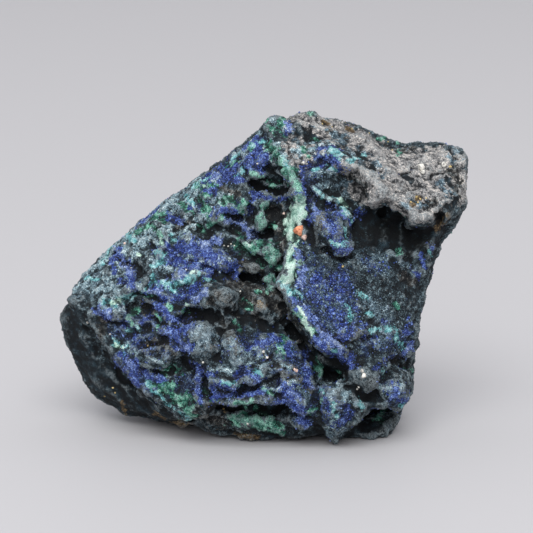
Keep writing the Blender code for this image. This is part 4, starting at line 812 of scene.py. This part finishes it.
def relax(points, edges, rounds):
    """Draws each point halfway to the middle of its neighbours, several times over."""
    first, second = edges[:, 0], edges[:, 1]
    count = len(points)
    neighbours = np.bincount(first, minlength=count) + np.bincount(second, minlength=count)
    for _ in range(rounds):
        middle = np.empty_like(points)
        for axis in range(3):
            total = np.bincount(first, points[second, axis], count)
            total += np.bincount(second, points[first, axis], count)
            middle[:, axis] = total / neighbours
        points = (points + middle) / 2.0
    return points


# ---------------------------------------------------------------- places on the show face

def seen_from_eye(points):
    """Where points lie in the view: across, up, and how far past the middle of the view, weighed down."""
    away = points - EYE
    ahead = away @ VIEW_AHEAD
    across = away @ VIEW_RIGHT / ahead * VIEW_DISTANCE
    up = away @ VIEW_UP / ahead * VIEW_DISTANCE
    return np.stack([across, up, (ahead - VIEW_DISTANCE) * DEPTH_SHARE], axis=1)


def on_show_face(tree, across, up):
    """The point and the outward direction of the stone where the eye sees (across, up)."""
    aim = VIEW_CENTRE + across * VIEW_RIGHT + up * VIEW_UP
    look = Vector(aim - EYE).normalized()
    spot, normal = tree.ray_cast(Vector(EYE * MM), look)[:2]
    if spot is None:
        spot, normal = tree.find_nearest(Vector(aim * MM))[:2]
    return np.array(spot) / MM, np.array(normal)


def distance_to_path(points, path):
    """The distance from each point to the nearest segment of a path."""
    nearest = np.full(len(points), np.inf)
    for start, end in zip(path, path[1:]):
        along = end - start
        share = np.clip((points - start) @ along / (along @ along), 0.0, 1.0)
        away = points - start - share[:, None] * along
        nearest = np.minimum(nearest, np.linalg.norm(away, axis=1))
    return nearest


def stroke_reach(view_points, tree, half_width, marks, reach):
    """Which points lie near a listed stroke, and their distance to it in half widths."""
    path = np.array([on_show_face(tree, across, up)[0] for across, up in zip(marks[::2], marks[1::2])])
    path = seen_from_eye(path)
    margin = half_width * reach
    low, high = path.min(axis=0) - margin, path.max(axis=0) + margin
    near = np.flatnonzero(np.all((view_points > low) & (view_points < high), axis=1))
    return near, distance_to_path(view_points[near], path) / half_width


def painted_cover(view_points, tree, strokes):
    """How surely a mineral covers each point: 1 in the middle of a stroke, 0.5 at its edge, 0 outside."""
    cover = np.zeros(len(view_points))
    for half_width, *marks in strokes:
        near, distance = stroke_reach(view_points, tree, half_width, marks, PAINT_REACH)
        cover[near] = np.maximum(cover[near], np.clip(1.0 - 0.5 * distance, 0.0, 1.0))
    return cover


def face_tree(obj):
    return BVHTree.FromObject(obj, bpy.context.evaluated_depsgraph_get())


# ---------------------------------------------------------------- minerals

def out_of_sight(normals):
    """1 where the stone turns away from the show side, 0 where it faces it."""
    return ramp(normals @ VIEW_AHEAD, *TURNED_AWAY)


def mineral_cover(obj, normals):
    """How surely each mineral covers each point, painted on the show side and grown wild elsewhere."""
    points = read_points(obj.data)
    view_points = seen_from_eye(points)
    tree = face_tree(obj)
    hidden = out_of_sight(normals)
    cover = {}
    for number, (name, strokes) in enumerate(ZONES.items()):
        painted = painted_cover(view_points, tree, strokes) * FULLNESS.get(name, 1.0)
        ragged = rough_noise(points, RAGGED_SIZE, 3, SEEDS["ragged"] + number * 5) * RAGGED_SHARE
        cover[name] = np.where(painted > 0.0, painted + ragged, 0.0)
        if name in WILD:
            size, level = WILD[name]
            wild = 0.5 + rough_noise(points, size, 3, SEEDS["wild"] + number * 7) - level
            cover[name] = np.maximum(cover[name] * (1.0 - hidden), np.clip(wild, 0.0, 1.0) * hidden)
        cover[name] = np.clip(cover[name], 0.0, 1.0)
    cover["azurite"] *= 1.0 - PLATE_THINNING * cover["plate_face"]
    return cover


# ---------------------------------------------------------------- the skin

def zone_share(cover, shares, bare):
    """Blends a number given for each mineral, over the one for bare matrix."""
    result = np.full(len(cover["azurite"]), float(bare))
    for name, share in shares.items():
        strength = ramp(cover[name], *COVER_EDGE)
        result = result * (1.0 - strength) + share * strength
    return result


def skin_relief(points, cover):
    """Height of the small natural relief over the smooth form."""
    craggy = zone_share(cover, CRAGGY, 0.8)
    knobbly = zone_share(cover, KNOBBLY, 0.6)
    pitted = zone_share(cover, PITTED, 0.4)
    streaked = points - (points @ STREAK)[:, None] * STREAK * STREAK_SHARE
    layered = ramp(cover["cap"], *COVER_EDGE)
    crags = crag_noise(points, CRAG_SIZE, 3, SEEDS["crags"])
    uneven = warped(points, KNOB_SIZE, 0.35, SEEDS["uneven"])
    relief = crags * CRAG_HEIGHT * craggy
    relief += rough_noise(streaked, LAYER_SIZE, 2, SEEDS["layers"]) * LAYER_HEIGHT * layered
    relief += (grain_noise(uneven, KNOB_SIZE, SEEDS["knobs"]) - 0.5) * KNOB_HEIGHT * knobbly
    relief += (grain_noise(uneven, CRUMB_SIZE, SEEDS["crumbs"]) - 0.5) * CRUMB_HEIGHT * knobbly
    gritty = zone_share(cover, GRITTY, 1.0)
    relief += rough_noise(points, GRIT_SIZE, 2, SEEDS["grit"]) * GRIT_HEIGHT * gritty
    relief -= ramp(grain_noise(uneven, PIT_SPACING, SEEDS["pits"]), *PIT_EDGE) * PIT_DEPTH * pitted
    return relief


def mould(skin):
    """Sets the floors of the deep hollows: whatever stands before or behind is brought to their depth."""
    points = read_points(skin.data)
    view_points = seen_from_eye(points)
    depth = view_points[:, 2] / DEPTH_SHARE
    sight = (points - EYE) / (depth + VIEW_DISTANCE)[:, None]
    for half_width, *ends in MOULDS:
        start, end = np.array(ends).reshape(2, 3)
        along = (end - start)[:2]
        share = np.clip((view_points[:, :2] - start[:2]) @ along / (along @ along), 0.0, 1.0)
        middle = start + share[:, None] * (end - start)
        distance = np.linalg.norm(view_points[:, :2] - middle[:, :2], axis=1) / half_width
        gap = middle[:, 2] - depth
        pull = ramp(distance, *MOULD_EDGE) * (gap < MOULD_FRONT) * (gap > -MOULD_BACK)
        points = points + sight * (gap * pull)[:, None]
        depth = depth + gap * pull
    write_points(skin.data, points)


def carve(skin, normals):
    """Raises the ledges and lumps of the show face and sinks its hollows."""
    points = read_points(skin.data)
    view_points = seen_from_eye(warped(points, CARVE_WANDER, 0.3, SEEDS["carving"]))
    tree = face_tree(skin)
    height = np.zeros(len(points))
    for half_width, rise, *marks in RELIEF:
        near, distance = stroke_reach(view_points, tree, half_width, marks, RELIEF_REACH)
        facing = 1.0 - out_of_sight(normals[near])
        height[near] += rise * ramp(distance, *RELIEF_EDGE) * facing
    return points + normals * height[:, None]


def build_skin():
    """The fine skin of the stone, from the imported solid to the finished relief."""
    skin = new_piece("stone_skin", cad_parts[NODE].data.copy())
    fuse(skin, FACET_VOXEL)
    mould(skin)
    write_points(skin.data, relax(read_points(skin.data), read_edges(skin.data), FACET_ROUNDS))
    fuse(skin, SKIN_VOXEL)
    write_points(skin.data, carve(skin, read_normals(skin.data)))
    normals = read_normals(skin.data)
    cover = mineral_cover(skin, normals)
    points = read_points(skin.data)
    points = points + normals * skin_relief(points, cover)[:, None]
    write_points(skin.data, points)
    thin_out(skin)
    keep_above_rest(skin.data)
    skin.data.shade_smooth()
    return skin


def thin_out(obj):
    """Collapses the skin to its triangle budget, and keeps most faces on the show side."""
    hidden = out_of_sight(read_normals(obj.data))
    group = obj.vertex_groups.new(name="thinning")
    steps = np.round(SHOW_THINNING + (BACK_THINNING - SHOW_THINNING) * hidden, 1)
    for share in np.unique(steps):
        group.add(np.flatnonzero(steps == share).tolist(), float(share), "REPLACE")
    thin = obj.modifiers.new("thin", "DECIMATE")
    thin.ratio = SKIN_TRIANGLES / len(read_triangles(obj.data))
    thin.use_collapse_triangulate = True
    thin.vertex_group = group.name
    apply_modifiers(obj)
    obj.vertex_groups.clear()


def keep_above_rest(mesh):
    """Wears off whatever relief would reach below the resting plane."""
    points = read_points(mesh)
    points[:, 2] = np.maximum(points[:, 2], 0.0)
    write_points(mesh, points)


def mark_minerals(skin):
    """Stores on the skin what covers each point, and how far it stands out from 0.5 mm and 2 mm around it."""
    mesh = skin.data
    normals = read_normals(mesh)
    cover = mineral_cover(skin, normals)
    points = read_points(mesh)
    edges = read_edges(mesh)
    near = relax(points, edges, NEAR_ROUNDS)
    wide = relax(near, edges, WIDE_ROUNDS)
    cover["near_stand"] = np.clip(np.sum((points - near) * normals, axis=1) / NEAR_STAND, -2.0, 2.0)
    cover["wide_stand"] = np.clip(np.sum((near - wide) * normals, axis=1) / WIDE_STAND, -2.0, 2.0)
    cover["solid"] = np.max([share * cover[name] for name, share in SOLID.items()], axis=0)
    for name, values in cover.items():
        write_attribute(mesh, name, values)
    return cover


# ---------------------------------------------------------------- crystals

def small_octahedron():
    """A flat-faced grain, as points and triangles."""
    girdle = [(1, 0, 0), (0, 0.9, 0.1), (-0.9, 0.1, 0), (0, -1, 0)]
    tips = [(0.1, 0, 0.9), (0, 0, -0.9)]
    above = [(0, 1, 4), (1, 2, 4), (2, 3, 4), (3, 0, 4)]
    below = [(1, 0, 5), (2, 1, 5), (3, 2, 5), (0, 3, 5)]
    return np.array(girdle + tips, float), np.array(above + below)


def round_lump():
    """A ball of eighty faces, as points and triangles."""
    bm = bmesh.new()
    bmesh.ops.create_icosphere(bm, subdivisions=2, radius=1.0)
    points = np.array([vert.co[:] for vert in bm.verts])
    triangles = np.array([[vert.index for vert in face.verts] for face in bm.faces])
    bm.free()
    return points, triangles


# The crusts: where they grow, the number and size of their grains, and how they sit and shine.
CRUSTS = {
    "azurite_druse": {
        "seed": 5, "count": 24000, "size": (0.1, 0.22), "stretch": (0.6, 1.3),
        "lean": 0.8, "lift": 0.25, "smooth": False, "finish": (0.45, 0.45), "own": "azurite",
        "on": {"azurite": 1.0, "lilac": 0.5, "navy": 0.12, "turquoise": -0.9, "mint": -1.0,
               "malachite": -0.5},
    },
    "dark_druse": {
        "seed": 6, "count": 24500, "size": (0.08, 0.17), "stretch": (0.5, 1.4),
        "lean": 0.9, "lift": 0.1, "smooth": False, "finish": (0.5, 0.4), "own": None,
        "on": {"plate_face": 0.9, "slate": 0.6, "navy": 0.4, "verdigris": 0.12, "brown": 0.15,
               "matrix": 0.1, "azurite": -0.5, "cap": -0.1, "malachite": -1.0, "turquoise": -1.0,
               "mint": -1.0, "soot_and_painted_shade": -0.3},
    },
    "malachite_crust": {
        "seed": 7, "count": 14000, "size": (0.1, 0.22), "stretch": (0.75, 1.2),
        "lean": 0.4, "lift": -0.2, "smooth": True, "finish": (0.75, 0.35), "own": None,
        "on": {"malachite": 0.6, "turquoise": 0.25, "verdigris": 0.1, "mint": 0.08, "azurite": -0.7},
    },
}


def crust_density(cover, wanted):
    """How thickly a crust grows on each point of the skin."""
    density = np.full(len(cover["azurite"]), wanted.get("matrix", 0.0))
    for name, share in wanted.items():
        if name != "matrix":
            density += share * ramp(cover[name], 0.25, 0.75)
    return np.clip(density, 0.0, 1.0)


def scatter(rng, skin, density, count):
    """Picks places on the skin, thickest where the density is high: points, normals, the vertex of each."""
    mesh = skin.data
    points = read_points(mesh)
    normals = read_normals(mesh)
    triangles = read_triangles(mesh)
    corners = points[triangles]
    cross = np.cross(corners[:, 1] - corners[:, 0], corners[:, 2] - corners[:, 0])
    chance = np.linalg.norm(cross, axis=1) * density[triangles].mean(axis=1)
    picked = rng.choice(len(triangles), size=count, p=chance / chance.sum())
    weights = rng.dirichlet((1.0, 1.0, 1.0), count)
    places = np.sum(corners[picked] * weights[:, :, None], axis=1)
    outward = np.sum(normals[triangles[picked]] * weights[:, :, None], axis=1)
    outward /= np.linalg.norm(outward, axis=1)[:, None]
    return places, outward, triangles[picked, 0]


def upright_frames(rng, outward, lean):
    """For each outward direction three axes, the last near it but leaning by chance, turned at random."""
    up = outward + rng.normal(0.0, lean, outward.shape)
    up /= np.linalg.norm(up, axis=1)[:, None]
    side = np.cross(up, rng.normal(0.0, 1.0, outward.shape))
    side /= np.linalg.norm(side, axis=1)[:, None]
    return np.stack([side, np.cross(up, side), up], axis=1)


def grow_crust(name, skin, cover, density, crust, material):
    """Grows one crust of small grains on the skin as a single mesh."""
    rng = np.random.default_rng(crust["seed"])
    places, outward, nearest = scatter(rng, skin, density, crust["count"])
    shape_points, shape_triangles = small_octahedron()
    sizes = rng.uniform(*crust["size"], len(places)) * (1.0 + PLATE_SWELL * cover["plate_face"][nearest])
    stretch = rng.uniform(*crust["stretch"], (len(places), 3))
    frames = upright_frames(rng, outward, crust["lean"])
    local = shape_points[None] * (sizes[:, None] * stretch)[:, None, :]
    grown = local @ frames + (places + outward * (sizes * crust["lift"])[:, None])[:, None, :]
    points = grown.reshape(-1, 3)
    points[:, 2] = np.maximum(points[:, 2], GRAIN_CLEARANCE)
    step = np.arange(len(places)) * len(shape_points)
    triangles = (shape_triangles[None] + step[:, None, None]).reshape(-1, 3)
    mesh = triangle_mesh(name, points, triangles)
    for zone, values in cover.items():
        here = values[nearest]
        if zone == crust["own"]:
            here = np.maximum(here, 0.95)
        write_attribute(mesh, zone, np.repeat(here, len(shape_points)))
    write_attribute(mesh, "tint", np.repeat(rng.uniform(0.0, 1.0, len(places)), len(shape_points)))
    mesh.materials.append(material)
    if crust["smooth"]:
        mesh.shade_smooth()
    else:
        mesh.shade_flat()
    return new_piece(name, mesh)


def place_stray_grains(name, tree, spots, material):
    """Sets uneven little lumps on the show face, half sunk in the stone, as one mesh."""
    ball, faces = round_lump()
    points, triangles = [], []
    for number, (across, up, radius) in enumerate(spots):
        place, outward = on_show_face(tree, across, up)
        uneven = 1.0 + 0.35 * rough_noise(ball + 9.0 * number, 1.1, 2, SEEDS["stray"])
        points.append(place + outward * radius * 0.15 + ball * uneven[:, None] * radius)
        triangles.append(faces + len(ball) * number)
    mesh = triangle_mesh(name, np.concatenate(points), np.concatenate(triangles))
    mesh.materials.append(material)
    return new_piece(name, mesh)


# ---------------------------------------------------------------- shader helpers

def colour(red, green, blue):
    """A paint-chip colour (0 to 255) as the linear colour that shaders use."""
    chip = np.array([red, green, blue]) / 255.0
    linear = np.where(chip <= 0.04045, chip / 12.92, ((chip + 0.055) / 1.055) ** 2.4)
    return (*linear.tolist(), 1.0)


def feed(tree, node, inputs):
    """Sets a node's inputs to plain values, or links them to other nodes' outputs."""
    for socket, value in inputs.items():
        if isinstance(value, bpy.types.NodeSocket):
            tree.links.new(value, node.inputs[socket])
        else:
            node.inputs[socket].default_value = value


def add(tree, kind, inputs, **settings):
    """Adds a node to a tree, sets it up and feeds its inputs."""
    node = tree.nodes.new("ShaderNode" + kind)
    for name, value in settings.items():
        setattr(node, name, value)
    feed(tree, node, inputs)
    return node


def use_group(tree, group, inputs):
    return add(tree, "Group", inputs, node_tree=group).outputs


def calculate(tree, operation, first, second=0.0, third=0.0):
    return add(tree, "Math", {0: first, 1: second, 2: third}, operation=operation).outputs[0]


def blend_colour(tree, share, first, second):
    return add(tree, "Mix", {0: share, 6: first, 7: second}, data_type="RGBA").outputs[2]


def blend_value(tree, share, first, second):
    return add(tree, "Mix", {0: share, 2: first, 3: second}, data_type="FLOAT").outputs[0]


def ease(tree, value, low, high):
    inputs = {"Value": value, "From Min": low, "From Max": high}
    return add(tree, "MapRange", inputs, interpolation_type="SMOOTHSTEP").outputs[0]


def new_group(name, inputs, outputs):
    """An empty node group with named sockets: the tree, its input sockets by name, and its output node."""
    tree = bpy.data.node_groups.new(name, "ShaderNodeTree")
    for socket, kind in inputs.items():
        tree.interface.new_socket(socket, in_out="INPUT", socket_type="NodeSocket" + kind)
    for socket, kind in outputs.items():
        tree.interface.new_socket(socket, in_out="OUTPUT", socket_type="NodeSocket" + kind)
    entry = tree.nodes.new("NodeGroupInput")
    return tree, entry.outputs, tree.nodes.new("NodeGroupOutput")


def in_millimetres(tree):
    place = add(tree, "TexCoord", {}).outputs["Object"]
    return add(tree, "VectorMath", {0: place, "Scale": 1.0 / MM}, operation="SCALE").outputs[0]


def noise_at(tree, place, size, detail):
    inputs = {"Vector": place, "Scale": 1.0 / size, "Detail": detail}
    return add(tree, "TexNoise", inputs).outputs[0]


# ---------------------------------------------------------------- finishes

def make_patch_edge():
    """A mineral's edge, grain by grain: turns how surely it covers a place into a crisp mask."""
    tree, given, out = new_group(
        "patch_edge",
        {"Cover": "Float", "Chance": "Float", "Stipple": "Float", "Wander": "Float"},
        {"Mask": "Float"},
    )
    inputs = {"Vector": in_millimetres(tree), "Scale": 1.0 / PATCH_GRAIN, "Detail": 5.0, "Roughness": 0.65}
    wander = calculate(tree, "SUBTRACT", add(tree, "TexNoise", inputs).outputs[0], 0.5)
    picky = calculate(tree, "SUBTRACT", 0.5, given["Chance"])
    uneven = calculate(tree, "MULTIPLY_ADD", picky, given["Stipple"], given["Cover"])
    uneven = calculate(tree, "MULTIPLY_ADD", wander, given["Wander"], uneven)
    feed(tree, out, {"Mask": ease(tree, uneven, 0.4, 0.6)})
    return tree


def make_three_shades():
    """Grains of one mineral: dark, middle or pale by chance."""
    tree, given, out = new_group(
        "three_shades",
        {"Dark": "Color", "Middle": "Color", "Pale": "Color", "Chance": "Float"},
        {"Color": "Color"},
    )
    lower = blend_colour(tree, ease(tree, given["Chance"], 0.05, 0.55), given["Dark"], given["Middle"])
    upper = blend_colour(tree, ease(tree, given["Chance"], 0.6, 1.0), lower, given["Pale"])
    feed(tree, out, {"Color": upper})
    return tree


def make_mineral_colours(three_shades):
    """The stone's colour where each mineral's mask is on, later minerals over earlier ones.

    Loose minerals take a new shade for each grain (Chance), solid ones shade gently (Even Chance).
    """
    inputs = {name: "Float" for name in MINERAL_SHADES if name != "matrix"}
    chances = {"Chance": "Float", "Even Chance": "Float"}
    tree, given, out = new_group("mineral_colours", {**chances, **inputs}, {"Color": "Color"})
    result = None
    for name, (dark, middle, pale) in MINERAL_SHADES.items():
        shades = {"Dark": colour(*dark), "Middle": colour(*middle), "Pale": colour(*pale)}
        chance = given["Even Chance" if SOLID.get(name, 0.0) > 0.5 else "Chance"]
        grains = use_group(tree, three_shades, {**shades, "Chance": chance})["Color"]
        result = grains if result is None else blend_colour(tree, given[name], result, grains)
    feed(tree, out, {"Color": result})
    return tree


def make_crevice_shade_and_dust():
    """Darkens what lies deep with painted shade, and dusts what stands out."""
    tree, given, out = new_group(
        "crevice_shade_and_dust",
        {"Color": "Color", "Stand": "Float", "Depth": "Float", "Dust": "Float", "Dust Color": "Color"},
        {"Color": "Color"},
    )
    deep = calculate(tree, "MULTIPLY", ease(tree, given["Stand"], 0.0, -1.8), given["Depth"])
    crevice_shaded = blend_colour(tree, deep, given["Color"], colour(*CREVICE_SHADE_COLOUR))
    high = calculate(tree, "MULTIPLY", ease(tree, given["Stand"], 0.4, 2.0), given["Dust"])
    dusted = blend_colour(tree, high, crevice_shaded, given["Dust Color"])
    feed(tree, out, {"Color": dusted})
    return tree


def attribute(tree, name):
    return add(tree, "Attribute", {}, attribute_name=name).outputs["Fac"]


def standing_out(tree):
    """How far a place stands out from its surroundings, near and wide taken together."""
    return calculate(tree, "ADD", attribute(tree, "near_stand"), attribute(tree, "wide_stand"))


def mineral_masks(tree, patch_edge, chance, stipple):
    """Every mineral's mask: clumps with wandering edges, but single grains on the plate."""
    masks = {}
    plate = attribute(tree, "plate_face")
    wander = blend_value(tree, plate, PATCH_WANDER, PLATE_WANDER)
    grains = blend_value(tree, plate, stipple, PLATE_STIPPLE)
    for name in MINERAL_SHADES:
        if name != "matrix":
            share = calculate(tree, "MULTIPLY", grains, STIPPLE.get(name, 1.0))
            inputs = {"Cover": attribute(tree, name), "Chance": chance, "Stipple": share, "Wander": wander}
            masks[name] = use_group(tree, patch_edge, inputs)["Mask"]
    return masks


def new_material(name):
    material = bpy.data.materials.new(name)
    material.use_nodes = True
    return material, material.node_tree, material.node_tree.nodes["Principled BSDF"]


def skin_material(groups):
    """The stone's own surface: every mineral, grain by grain, with painted shade in the gaps between grains
    and in crevices, a painted highlight on raised tips, and dusty crests.
    """
    material, tree, shader = new_material("overgrown_stone")
    place = in_millimetres(tree)
    grainy = {"Vector": place, "Scale": 1.0 / SKIN_GRAIN, "Detail": 1.0}
    shift = add(tree, "TexNoise", grainy).outputs["Color"]
    uneven = add(tree, "VectorMath", {0: shift, "Scale": SKIN_GRAIN * 0.9}, operation="SCALE").outputs[0]
    uneven = add(tree, "VectorMath", {0: place, 1: uneven}, operation="ADD").outputs[0]
    cells = add(tree, "TexVoronoi", {"Vector": uneven, "Scale": 1.0 / SKIN_GRAIN})
    edges = add(tree, "TexVoronoi", {"Vector": uneven, "Scale": 1.0 / SKIN_GRAIN}, feature="DISTANCE_TO_EDGE")
    draws = add(tree, "SeparateColor", {0: cells.outputs["Color"]}).outputs
    drift = noise_at(tree, place, SKIN_DRIFT, 5.0)
    fine = noise_at(tree, place, SKIN_SPECK, 2.0)
    # Painted highlight on raised tips and painted shade in dips, through the choice of shade.
    tips = ease(tree, attribute(tree, "near_stand"), -1.2, 1.2)
    speckle = ease(tree, fine, 0.35, 0.65)
    even = blend_value(tree, TIP_HIGHLIGHT_SHARE, ease(tree, drift, 0.32, 0.68), tips)
    even = blend_value(tree, FINE_SHARE, even, speckle)
    chance = blend_value(tree, GRAIN_SHARE, even, draws[0])
    chance = calculate(tree, "MULTIPLY_ADD", chance, SPREAD, (1.0 - SPREAD) / 2.0)
    even = calculate(tree, "MULTIPLY_ADD", even, SPREAD, (1.0 - SPREAD) / 2.0)
    masks = mineral_masks(tree, groups["patch_edge"], draws[1], SKIN_STIPPLE)
    inputs = {"Chance": chance, "Even Chance": even, **masks}
    stone = use_group(tree, groups["mineral_colours"], inputs)["Color"]
    # Painted shade in the gaps between grains, less where a mineral is solid.
    gap = calculate(tree, "MULTIPLY", ease(tree, edges.outputs["Distance"], 0.2, 0.0), SKIN_GAP_SHADE)
    gap = calculate(tree, "MULTIPLY", gap, ease(tree, attribute(tree, "solid"), 0.9, 0.2))
    grained = blend_colour(tree, gap, stone, colour(*CREVICE_SHADE_COLOUR))
    dust = calculate(tree, "MULTIPLY", draws[2], blend_value(tree, masks["azurite"], 0.5, 0.0))
    inputs = {"Color": grained, "Stand": standing_out(tree), "Depth": CREVICE_SHADE_DEPTH, "Dust": dust}
    inputs["Dust Color"] = colour(*DUST_COLOUR)
    weathered = use_group(tree, groups["crevice_shade_and_dust"], inputs)["Color"]
    rough = blend_value(tree, masks["azurite"], MATRIX_ROUGHNESS, AZURITE_ROUGHNESS)
    height = blend_value(tree, 0.35, edges.outputs["Distance"], fine)
    bump = add(tree, "Bump", {"Height": height, "Strength": 0.9, "Distance": SKIN_BUMP * MM}).outputs[0]
    feed(tree, shader, {"Base Color": weathered, "Roughness": rough, "Normal": bump})
    shader.inputs["Specular IOR Level"].default_value = SKIN_SPECULAR
    return material


def crust_material(name, groups, roughness, specular):
    """Grains of crust: each takes the colour of the mineral under it, in a shade of its own, with painted
    shade in crevices.
    """
    material, tree, shader = new_material(name)
    tint = attribute(tree, "tint")
    masks = mineral_masks(tree, groups["patch_edge"], tint, CRUST_STIPPLE)
    fine = noise_at(tree, in_millimetres(tree), CRUST_SPECK, 2.0)
    chance = blend_value(tree, 0.3, tint, ease(tree, fine, 0.3, 0.7))
    chance = calculate(tree, "MULTIPLY_ADD", chance, CRUST_SPREAD, -0.08)
    inputs = {"Chance": chance, "Even Chance": chance, **masks}
    crust = use_group(tree, groups["mineral_colours"], inputs)["Color"]
    inputs = {"Color": crust, "Stand": standing_out(tree), "Depth": CRUST_CREVICE_SHADE, "Dust": CRUST_DUST}
    inputs["Dust Color"] = colour(*DUST_COLOUR)
    weathered = use_group(tree, groups["crevice_shade_and_dust"], inputs)["Color"]
    rough = blend_value(tree, fine, roughness - 0.1, roughness + 0.1)
    feed(tree, shader, {"Base Color": weathered, "Roughness": rough})
    shader.inputs["Specular IOR Level"].default_value = specular
    return material


def stray_material(name, dark, pale):
    """A loose bit's own colour, mottled."""
    material, tree, shader = new_material(name)
    mottled = ease(tree, noise_at(tree, in_millimetres(tree), STRAY_MOTTLE, 2.0), 0.3, 0.6)
    tone = blend_colour(tree, mottled, colour(*dark), colour(*pale))
    feed(tree, shader, {"Base Color": tone, "Roughness": STRAY_ROUGHNESS})
    shader.inputs["Specular IOR Level"].default_value = 0.2
    return material


# ---------------------------------------------------------------- the studio

def build_floor():
    """A plain pale sweep of floor under the stone."""
    half = FLOOR_SIZE / 2.0
    corners = np.array([(-half, -half, 0), (half, -half, 0), (half, half, 0), (-half, half, 0)])
    mesh = triangle_mesh("floor", corners, np.array([(0, 1, 2), (0, 2, 3)]))
    floor = new_piece("floor", mesh)
    material, tree, shader = new_material("pale_floor")
    feed(tree, shader, {"Base Color": colour(*FLOOR_COLOUR), "Roughness": FLOOR_ROUGHNESS})
    shader.inputs["Specular IOR Level"].default_value = 0.2
    mesh.materials.append(material)


def add_light(name, place, aim, size, power):
    lamp = bpy.data.lights.new(name, "AREA")
    lamp.shape = "RECTANGLE"
    lamp.size, lamp.size_y = size[0] * MM, size[1] * MM
    lamp.energy = power
    light = bpy.data.objects.new(name, lamp)
    light.location = Vector(place) * MM
    light.rotation_euler = (Vector(aim) - Vector(place)).to_track_quat("-Z", "Y").to_euler()
    bpy.context.scene.collection.objects.link(light)


def light_studio():
    for light in LIGHTS:
        add_light(*light)
    world = bpy.data.worlds.new("studio")
    bpy.context.scene.world = world
    world.use_nodes = True
    sky = world.node_tree.nodes["Background"]
    sky.inputs["Color"].default_value = colour(*SKY_COLOUR)
    sky.inputs["Strength"].default_value = SKY_STRENGTH
    bpy.context.scene.view_settings.view_transform = "Standard"


def place_camera():
    camera = bpy.data.objects.new("camera", bpy.data.cameras.new("camera"))
    camera.data.sensor_width = SENSOR
    camera.data.lens = SENSOR * VIEW_DISTANCE / VIEW_WIDTH
    camera.location = Vector(EYE * MM)
    camera.rotation_euler = (math.pi / 2.0 - VIEW_RISE, 0.0, 0.0)
    bpy.context.scene.collection.objects.link(camera)
    bpy.context.scene.camera = camera


# ---------------------------------------------------------------- making

def join_specimen(piece):
    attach(piece, BODY)


def main():
    groups = {
        "patch_edge": make_patch_edge(),
        "mineral_colours": make_mineral_colours(make_three_shades()),
        "crevice_shade_and_dust": make_crevice_shade_and_dust(),
    }
    skin = build_skin()
    cover = mark_minerals(skin)
    skin.data.materials.clear()
    skin.data.materials.append(skin_material(groups))
    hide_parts(NODE)
    join_specimen(skin)
    for name, crust in CRUSTS.items():
        density = crust_density(cover, crust["on"])
        material = crust_material(name + "_grains", groups, *crust["finish"])
        join_specimen(grow_crust(name, skin, cover, density, crust, material))
    tree = face_tree(skin)
    for name, (dark, pale, spots) in STRAY_GRAINS.items():
        join_specimen(place_stray_grains(name, tree, spots, stray_material(name + "_tone", dark, pale)))
    build_floor()
    light_studio()
    place_camera()


main()
